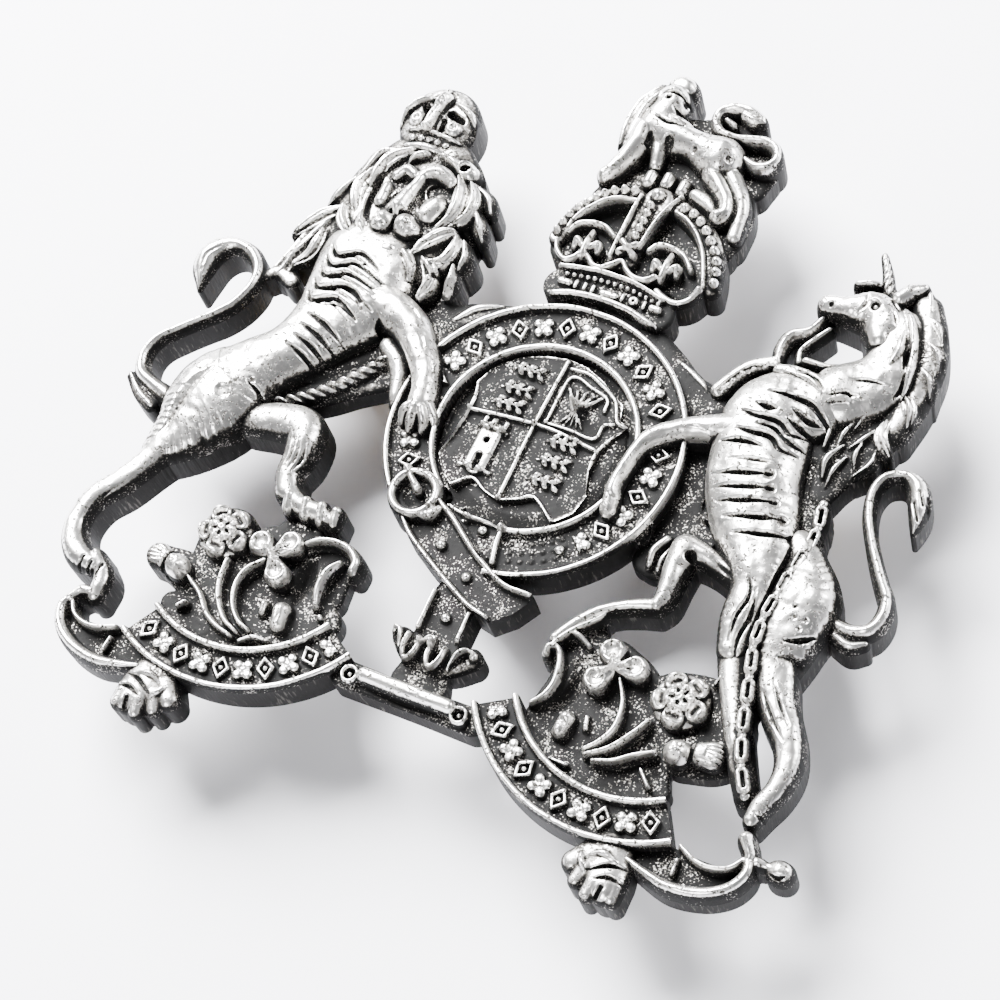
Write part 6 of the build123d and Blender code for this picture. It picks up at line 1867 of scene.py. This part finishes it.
class Casting:
    """The cast part: it turns every relief into a closed mesh."""

    slit_cells: int = 3  # slits up to twice this many cells wide are closed
    web_top: float = 1.7  # height in mm of the metal that closes them
    waves: tuple[tuple[float, float], ...] = ((0.5, 0.045), (0.17, 0.016))  # size and depth of hollows, mm
    around: tuple[float, ...] = (0.16, 0.45, 1.1)  # how far round a point its surroundings reach, mm
    # around_share, low_share and steep_share darken hollows, recesses and steep slopes: oxide there together
    # with painted shade.
    around_share: tuple[float, ...] = (1.5, 0.75, 0.3)
    low_share: float = 0.1  # darkening for each mm below the rims: oxide and painted shade of the recesses
    steep_share: float = 0.26
    aged_share: float = 0.42
    back_step: float = 0.004  # each back lies this far in mm above the last piece's, over back_steps heights
    back_steps: int = 12  # two overlapping pieces this many apart still share a plane behind

    def __init__(self, named: list[tuple[str, Relief, tuple[str, ...]]], box: np.ndarray) -> None:
        """Works out the whole casting's surface and how deep each point lies in it.

        Args:
            named: each piece's name, relief and the solids it stands for.
            box: the lowest and highest corner that the casting must stay within, in mm.
        """
        self.named = named
        rough = self._unevenness()
        x, y = np.meshgrid(XS, YS)
        limit = np.minimum.reduce([x - box[0][0], box[1][0] - x, y - box[0][1], box[1][1] - y])
        for _, relief, _ in named:
            relief.height += rough * np.clip((relief.height - 2.0) / 2.0, 0.25, 1)
            np.clip(relief.height, 0.6, box[1][2] - 0.01, out=relief.height)
        self._close_slits()
        for _, relief, _ in named:
            relief.keep(limit - 0.02)
        surface = np.maximum.reduce([np.where(r.footprint > 0, r.height, 0) for _, r, _ in named])
        solid = (surface > 0).astype(float)
        self.means = []
        for sigma in self.around:
            weight = np.maximum(blurred(solid, sigma), 1e-3)
            self.means.append(blurred(surface, sigma) / weight)

    def _close_slits(self) -> None:
        """Fills slits between figures with low metal, as the one casting has none.

        Formula: the slits are what the whole footprint gains when it is widened and then narrowed by the
        same number of cells, less all that an open space leads into. The first piece that borders a slit
        takes it.
        """
        solid = np.logical_or.reduce([relief.footprint > 0 for _, relief, _ in self.named])
        apart = grown(~grown(solid, self.slit_cells), self.slit_cells)
        slits = ~apart & ~solid
        reached = slits
        while reached.any():
            reached = grown(apart, 1) & slits
            apart |= reached
            slits &= ~reached
        for _, relief, _ in self.named:
            own = relief.footprint > 0
            taken = slits & grown(own, 2 * self.slit_cells)
            web = grown(taken, 2) & ~own
            relief.height[web] = self.web_top
            relief.footprint[web] = CELL
            slits &= ~taken

    def _unevenness(self) -> np.ndarray:
        """The hand-worn waviness of the cast surface in mm: random values blurred to two sizes of hollow."""
        random = np.random.default_rng(11)
        total = np.zeros((len(YS), len(XS)))
        for sigma, depth in self.waves:
            wave = blurred(random.standard_normal(total.shape), sigma)
            total += depth * wave / wave.std()
        return total

    def _oxide_and_shade_map(self, relief: Relief) -> np.ndarray:
        """How dark each point is, as a depth in mm: oxide in hollows and on low ground, together with painted
        shade in creases, recesses and on steep sides.

        Formula: how far the point lies below the mean of its surroundings at three sizes, each with its
        share, plus shares for its depth below the rims, for steep sides and for aged ground.

        Args:
            relief: the piece.

        Returns:
            The depth at every grid point.
        """
        height = relief.height
        # Painted shade together with oxide: darker below the surroundings, below the rims and on steep sides.
        depth = sum(share * (mean - height) for share, mean in zip(self.around_share, self.means))
        depth = depth + self.low_share * (RIM - height)
        slope_y, slope_x = np.gradient(height, CELL)
        steep = np.clip(np.hypot(slope_x, slope_y) - 1.0, 0, 1.5)
        aged = np.clip((relief.ground + 0.24 - height) / 0.2, 0, 1)
        return depth + self.steep_share * steep + self.aged_share * aged

    def mesh(self, name: str, relief: Relief, base: float,
             materials: list[bpy.types.Material]) -> bpy.types.Object:
        """Makes one piece's closed mesh.

        Formula: grid cells with a corner inside the footprint are kept. Corners outside it slide along the
        footprint's slope onto its edge. The back has the same cells at z = base, and upright faces join the
        two.

        Args:
            name: the piece's name.
            relief: its height map.
            base: height of its flat back, in mm.
            materials: its face, its sides and its back.

        Returns:
            The mesh object.
        """
        inside = relief.footprint
        x, y = np.meshgrid(XS, YS)
        slope_y, slope_x = np.gradient(inside, CELL)
        steep = np.maximum(slope_x**2 + slope_y**2, 0.25)
        outside = inside <= 0
        pull = np.where(outside, -inside, 0) / steep
        reach = np.minimum(1.0, 1.45 * CELL / np.maximum(pull * np.sqrt(slope_x**2 + slope_y**2), 1e-9))
        x = x + pull * slope_x * reach
        y = y + pull * slope_y * reach
        on = ~outside
        cells = on[:-1, :-1] | on[1:, :-1] | on[:-1, 1:] | on[1:, 1:]
        rows, cols = np.nonzero(cells)
        width = inside.shape[1]
        corner = rows * width + cols
        quads = np.stack([corner, corner + 1, corner + width + 1, corner + width], axis=1)
        used, index = np.unique(quads, return_inverse=True)
        quads = index.reshape(quads.shape)
        count = len(used)
        top = np.stack([x.ravel()[used], y.ravel()[used], relief.height.ravel()[used]], axis=1)
        back = top.copy()
        back[:, 2] = base
        edges = np.concatenate([quads[:, [k, (k + 1) % 4]] for k in range(4)])
        key = edges[:, 0] * count + edges[:, 1]
        twin = edges[:, 1] * count + edges[:, 0]
        rim = edges[~np.isin(key, twin)]
        walls = np.stack([rim[:, 1], rim[:, 0], rim[:, 0] + count, rim[:, 1] + count], axis=1)
        faces = np.concatenate([quads, quads[:, ::-1] + count, walls])
        obj = new_object(name, np.concatenate([top, back]), faces, materials)
        mesh = obj.data
        kinds = np.concatenate([np.zeros(len(quads)), np.full(len(quads), 2),
                                np.full(len(walls), 1)]).astype(np.int32)
        mesh.polygons.foreach_set("material_index", kinds)
        self._mark_rims(mesh, rim, count)
        # This depth attribute darkens the face: oxide together with painted shade in creases, recesses and on
        # steep sides.
        oxide_and_shade_depth = np.zeros(2 * count, np.float32)
        oxide_and_shade_depth[:count] = self._oxide_and_shade_map(relief).ravel()[used]
        mesh.attributes.new("oxide_and_shade_depth", "FLOAT", "POINT").data.foreach_set("value", oxide_and_shade_depth)
        return obj

    def _mark_rims(self, mesh: bpy.types.Mesh, rim: np.ndarray, count: int) -> None:
        """Marks the edges where the sides meet the face and the back as sharp.

        Args:
            mesh: the piece's mesh.
            rim: the face's border edges.
            count: how many vertices the face has.
        """
        pairs = np.empty(2 * len(mesh.edges), np.int32)
        mesh.edges.foreach_get("vertices", pairs)
        pairs = np.sort(pairs.reshape(-1, 2), axis=1).astype(np.int64)
        border = np.sort(np.concatenate([rim, rim + count]), axis=1).astype(np.int64)
        size = 2 * count
        sharp = np.isin(pairs[:, 0] * size + pairs[:, 1], border[:, 0] * size + border[:, 1])
        mesh.attributes.new("sharp_edge", "BOOLEAN", "EDGE").data.foreach_set("value", sharp)

    def build(self, materials: list[bpy.types.Material]) -> None:
        """Makes every piece, sets what it stands for and lets it ride on the badge."""
        for number, (name, relief, nodes) in enumerate(self.named):
            obj = self.mesh(f"{name}_relief", relief, self.back_step * (number % self.back_steps), materials)
            settle(obj, Body.BADGE, nodes)


def settle(obj: bpy.types.Object, body: Body, nodes: tuple[str, ...]) -> None:
    """Lets a piece ride on its body and stand for its solids, and logs it.

    Args:
        obj: the piece.
        body: the body that it rides on.
        nodes: the solids that it stands for, which may be none.
    """
    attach(obj, body.value)
    if nodes:
        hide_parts(*nodes)
    LOG.info("%s: %d faces", obj.name, len(obj.data.polygons))


def swept(name: str, path: np.ndarray, plane: tuple[float, float, float], profile: np.ndarray,
          material: bpy.types.Material) -> bpy.types.Object:
    """Sweeps a closed profile along a path that lies in one plane, with a flat cap at each end.

    Formula: at each place, side = plane x tangent, and a profile row (u, w) goes to place + u side + w
    plane.

    Args:
        name: the object's name.
        path: rows of x, y and z in mm.
        plane: the plane's unit normal.
        profile: rows of u and w in mm, anticlockwise.
        material: its material.

    Returns:
        The mesh object.
    """
    tangent = np.gradient(path, axis=0)
    tangent /= np.linalg.norm(tangent, axis=1, keepdims=True)
    side = np.cross(np.asarray(plane, float), tangent)
    verts = path[:, None] + side[:, None] * profile[None, :, :1] + np.asarray(plane) * profile[None, :, 1:]
    n, m = len(path), len(profile)
    i, j = np.meshgrid(np.arange(n - 1), np.arange(m), indexing="ij")
    k = (j + 1) % m
    quads = np.stack([i * m + j, i * m + k, (i + 1) * m + k, (i + 1) * m + j], axis=-1).reshape(-1, 4)
    faces = quads.tolist() + [list(range(m))[::-1], [(n - 1) * m + q for q in range(m)]]
    obj = new_object(name, verts.reshape(-1, 3), faces, [material])
    return outward(obj)


def turned(name: str, profile: np.ndarray, centre: tuple[float, float], wobble: float,
           material: bpy.types.Material, closed: bool) -> bpy.types.Object:
    """Turns a profile about an upright axis.

    Formula: at each angle the profile's radius grows by wobble times three sines, more towards its last
    row.

    Args:
        name: the object's name.
        profile: rows of radius and z in mm.
        centre: the axis's x and y in mm.
        wobble: how uneven its radius is round the turn, in mm.
        material: its material.
        closed: whether the profile is a closed loop; if not, both ends get flat caps.

    Returns:
        The mesh object.
    """
    turns = 96
    angle = np.linspace(0, 2 * math.pi, turns, endpoint=False)
    waves = np.sin(3 * angle + centre[0]) + 0.6 * np.sin(7 * angle + 1.3) + 0.4 * np.sin(13 * angle)
    uneven = wobble * waves
    radius = profile[:, :1] + uneven[None] * np.linspace(0, 1, len(profile))[:, None] * (1 if wobble else 0)
    verts = np.stack([centre[0] + radius * np.cos(angle), centre[1] + radius * np.sin(angle),
                      np.broadcast_to(profile[:, 1:], radius.shape)], axis=-1)
    n = len(profile)
    i, j = np.meshgrid(np.arange(n if closed else n - 1), np.arange(turns), indexing="ij")
    k, low = (j + 1) % turns, (i + 1) % n
    faces = np.stack([i * turns + j, i * turns + k, low * turns + k, low * turns + j],
                     axis=-1).reshape(-1, 4).tolist()
    if not closed:
        faces += [list(range(turns))[::-1], [(n - 1) * turns + q for q in range(turns)]]
    return outward(new_object(name, verts.reshape(-1, 3), faces, [material]))


def outward(obj: bpy.types.Object) -> bpy.types.Object:
    """Turns every face of a closed mesh to look outward and marks its sharp edges.

    Args:
        obj: the mesh object.

    Returns:
        The same object.
    """
    work = bmesh.new()
    work.from_mesh(obj.data)
    bmesh.ops.recalc_face_normals(work, faces=work.faces)
    work.to_mesh(obj.data)
    work.free()
    obj.data.set_sharp_from_angle(angle=CREASE)
    return obj


@dataclass(frozen=True)
class RearFittings:
    """The two wire lugs with their feet and solder, and the split pin that passes through them."""

    spacing: float = 32.0
    y: float = 4.0
    wire: float = 0.647
    bend: float = 1.8
    leg: float = 3.4
    foot_radius: float = 2.9
    foot_height: float = 0.5
    solder_width: float = 0.42
    pin_radius: float = 0.95
    gap: float = 0.06
    pin_right: float = 17.4
    short_leg: float = 2.0
    eye_x: float = -19.9
    eye_inner: float = 1.42

    def lug(self, side: str, x: float, brass: bpy.types.Material, solder: bpy.types.Material) -> None:
        """Makes one lug: its bent wire, its foot disc, the solder round the foot and at the wire's two roots.

        Args:
            side: "left" or "right".
            x: its place.
            brass: the wire's material.
            solder: the solder's material.
        """
        down = np.linspace(-0.3, -self.leg, 8)
        turn = np.linspace(0, math.pi, 25)[1:-1]
        first = np.stack([np.full(8, self.y - self.bend), down], axis=1)
        arc = np.stack([self.y - self.bend * np.cos(turn), -self.leg - self.bend * np.sin(turn)], axis=1)
        last = np.stack([np.full(8, self.y + self.bend), down[::-1]], axis=1)
        flat = np.concatenate([first, arc, last])
        path = np.column_stack([np.full(len(flat), x), flat])
        t = np.linspace(0, 2 * math.pi, 24, endpoint=False)
        circle = self.wire * np.column_stack([np.cos(t), np.sin(t)])
        wire = swept(f"lug_wire_{side}", path, (1.0, 0.0, 0.0), circle, brass)
        settle(wire, Body.BADGE, (f"lug_{side}",))
        r, h = self.foot_radius, self.foot_height
        disc = np.array([(0.4, -h), (r - 0.14, -h), (r - 0.05, -h + 0.05), (r, -h + 0.14), (r, -0.02),
                         (0.4, -0.02)])
        foot = turned(f"lug_disc_{side}", disc, (x, self.y), 0.0, brass, closed=False)
        settle(foot, Body.BADGE, (f"lug_foot_{side}",))
        w = self.solder_width
        bow = np.array([(r - 0.1, 0.0), (r - 0.1, -0.8 * h), (r + 0.02, -0.78 * h), (r + 0.12 * w, -0.45 * h),
                        (r + 0.4 * w, -0.2 * h), (r + 0.8 * w, -0.06 * h), (r + 0.9 * w, 0.0)])
        fillet = turned(f"lug_fillet_{side}", bow, (x, self.y), 0.03, solder, closed=True)
        settle(fillet, Body.BADGE, (f"lug_solder_{side}",))
        for place, name in ((-self.bend, "lower"), (self.bend, "upper")):
            root = np.array([(0.5, -h + 0.1), (0.5, -h - 0.4), (0.68, -h - 0.38), (0.76, -h - 0.18),
                             (0.95, -h - 0.05), (1.1, -h + 0.1)])
            blob = turned(f"lug_root_{side}_{name}", root, (x, self.y + place), 0.02, solder, closed=True)
            settle(blob, Body.BADGE, ())

    def pin(self, material: bpy.types.Material) -> None:
        """Makes the split pin: half-round wire doubled back on itself, with an open eye at its left end.

        Formula: the path runs in along the short leg and the neck, round the eye's arc, and out along the
        neck and the long leg, mirrored across the pin's axis.

        Args:
            material: the wire's material.
        """
        bend = np.radians(np.linspace(55, 305, 36))
        loop = np.stack([self.eye_x + self.eye_inner * np.cos(bend), self.eye_inner * np.sin(bend)], axis=1)
        near: Points = [(-17.3, self.gap), (-17.9, 0.16), (-18.45, 0.55),
                        (float(loop[0, 0]), float(loop[0, 1]))]
        neck = smooth_path(near, 6)[:-1]
        long_leg = np.stack([np.linspace(self.pin_right, -17.2, 40), np.full(40, self.gap)], axis=1)
        short = np.stack([np.linspace(self.pin_right - self.short_leg, -17.2, 38), np.full(38, self.gap)],
                         axis=1)
        back = np.concatenate([long_leg[:-1], neck]) * (1, -1)
        flat = np.concatenate([short[:-1], neck, loop, back[::-1]])
        path = np.column_stack([flat[:, 0], flat[:, 1] + self.y, np.full(len(flat), -self.leg)])
        t = np.linspace(0, math.pi, 19)
        half = np.column_stack([-(self.pin_radius - self.gap) * np.sin(t), self.pin_radius * np.cos(t)])
        pin = swept("pin_wire", path, (0.0, 0.0, 1.0), half, material)
        settle(pin, Body.PIN, ("split_pin",))


@dataclass(frozen=True)
class Studio:
    """The camera, the soft lights and the pale floor."""

    place: tuple[float, float, float] = (58.06, -60.23, 145.15)
    right: tuple[float, float, float] = (0.8831, 0.4268, -0.1949)
    up: tuple[float, float, float] = (-0.3059, 0.8387, 0.4506)
    lens: float = 91.35
    sensor: float = 36.0
    floor_z: float = -5.87
    floor_reach: float = 2500.0
    sky: str = "#e6e8ee"
    sky_strength: float = 0.18
    lights: tuple[tuple[str, tuple[float, float, float], float, float, float], ...] = (
        ("key_light", (-0.62, 0.5, 0.85), 420.0, 290.0, 24.0),
        ("fill_light", (0.1, -1.0, 0.7), 520.0, 160.0, 2.2),
        ("rim_light", (1.0, 0.9, 0.5), 520.0, 150.0, 3.0),
    )  # name, direction, distance, width and watts

    def camera(self) -> None:
        """Sets the camera at the viewing angle."""
        right, up = Vector(self.right), Vector(self.up)
        back = right.cross(up).normalized()
        up = back.cross(right).normalized()
        data = bpy.data.cameras.new("studio_camera")
        data.lens, data.sensor_width = self.lens, self.sensor
        data.clip_start, data.clip_end = 0.01, 10.0
        obj = bpy.data.objects.new("studio_camera", data)
        turn = Matrix((right.normalized(), up, back)).transposed().to_4x4()
        obj.matrix_world = Matrix.Translation(Vector(self.place) * MM) @ turn
        bpy.context.scene.collection.objects.link(obj)
        bpy.context.scene.camera = obj

    def light(self, name: str, direction: tuple[float, float, float], far_mm: float, size_mm: float,
              power: float) -> None:
        """Adds a square soft light that looks at the badge.

        Args:
            name: its name.
            direction: where it stands, seen from the badge.
            far_mm: how far away.
            size_mm: its width.
            power: in watts.
        """
        data = bpy.data.lights.new(name, "AREA")
        data.energy, data.size, data.shape = power, size_mm * MM, "SQUARE"
        obj = bpy.data.objects.new(name, data)
        towards = Vector(direction).normalized()
        obj.location = towards * far_mm * MM
        obj.rotation_euler = towards.to_track_quat("Z", "Y").to_euler()
        bpy.context.scene.collection.objects.link(obj)

    def build(self) -> None:
        """Sets the camera, lights, floor and surroundings."""
        self.camera()
        for settings in self.lights:
            self.light(*settings)
        world = bpy.data.worlds.new("studio_surroundings")
        world.use_nodes = True
        background = next(n for n in world.node_tree.nodes if n.type == "BACKGROUND")
        background.inputs["Color"].default_value = srgb(self.sky)
        background.inputs["Strength"].default_value = self.sky_strength
        bpy.context.scene.world = world
        corners = self.floor_reach * np.array([(-1, -1), (1, -1), (1, 1), (-1, 1)])
        verts = np.column_stack([corners, np.full(4, self.floor_z)])
        floor = new_object("studio_floor", verts, [[0, 1, 2, 3]], [PaleFloor().build()])
        floor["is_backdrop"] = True


def size_note() -> dict[str, list[float]]:
    """The shown object's lowest and highest corner as plain lists."""
    low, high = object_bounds()
    return {"low": [float(v) for v in low], "high": [float(v) for v in high]}


def main() -> None:
    """Builds the whole badge, its fittings and the studio."""
    logging.basicConfig(level=logging.INFO, format="%(name)s: %(message)s")
    sizes = {"frame": size_note()}
    box = np.array([sizes["frame"]["low"], sizes["frame"]["high"]]) / MM
    face = [CastMetal().build(), FiledSide().build(), FlatBack().build()]
    named = Lion().pieces() + Unicorn().pieces() + Crown().pieces() + Belt().pieces() + Scrolls().pieces()
    Casting(named, box).build(face)
    brass = PlainMetal("drawn_brass_lug_wire", "#b99a5e", "#6f5a34", 0.36).build()
    solder = PlainMetal("soft_solder", "#a9a9ab", "#6c6b6a", 0.45).build()
    pin_brass = PlainMetal("plated_brass_pin", "#c2a467", "#7d6840", 0.3).build()
    fittings = RearFittings()
    for side, x in (("left", -fittings.spacing / 2), ("right", fittings.spacing / 2)):
        fittings.lug(side, x, brass, solder)
    fittings.pin(pin_brass)
    Studio().build()
    sizes["visual"] = size_note()


if __name__ == "__main__":
    main()
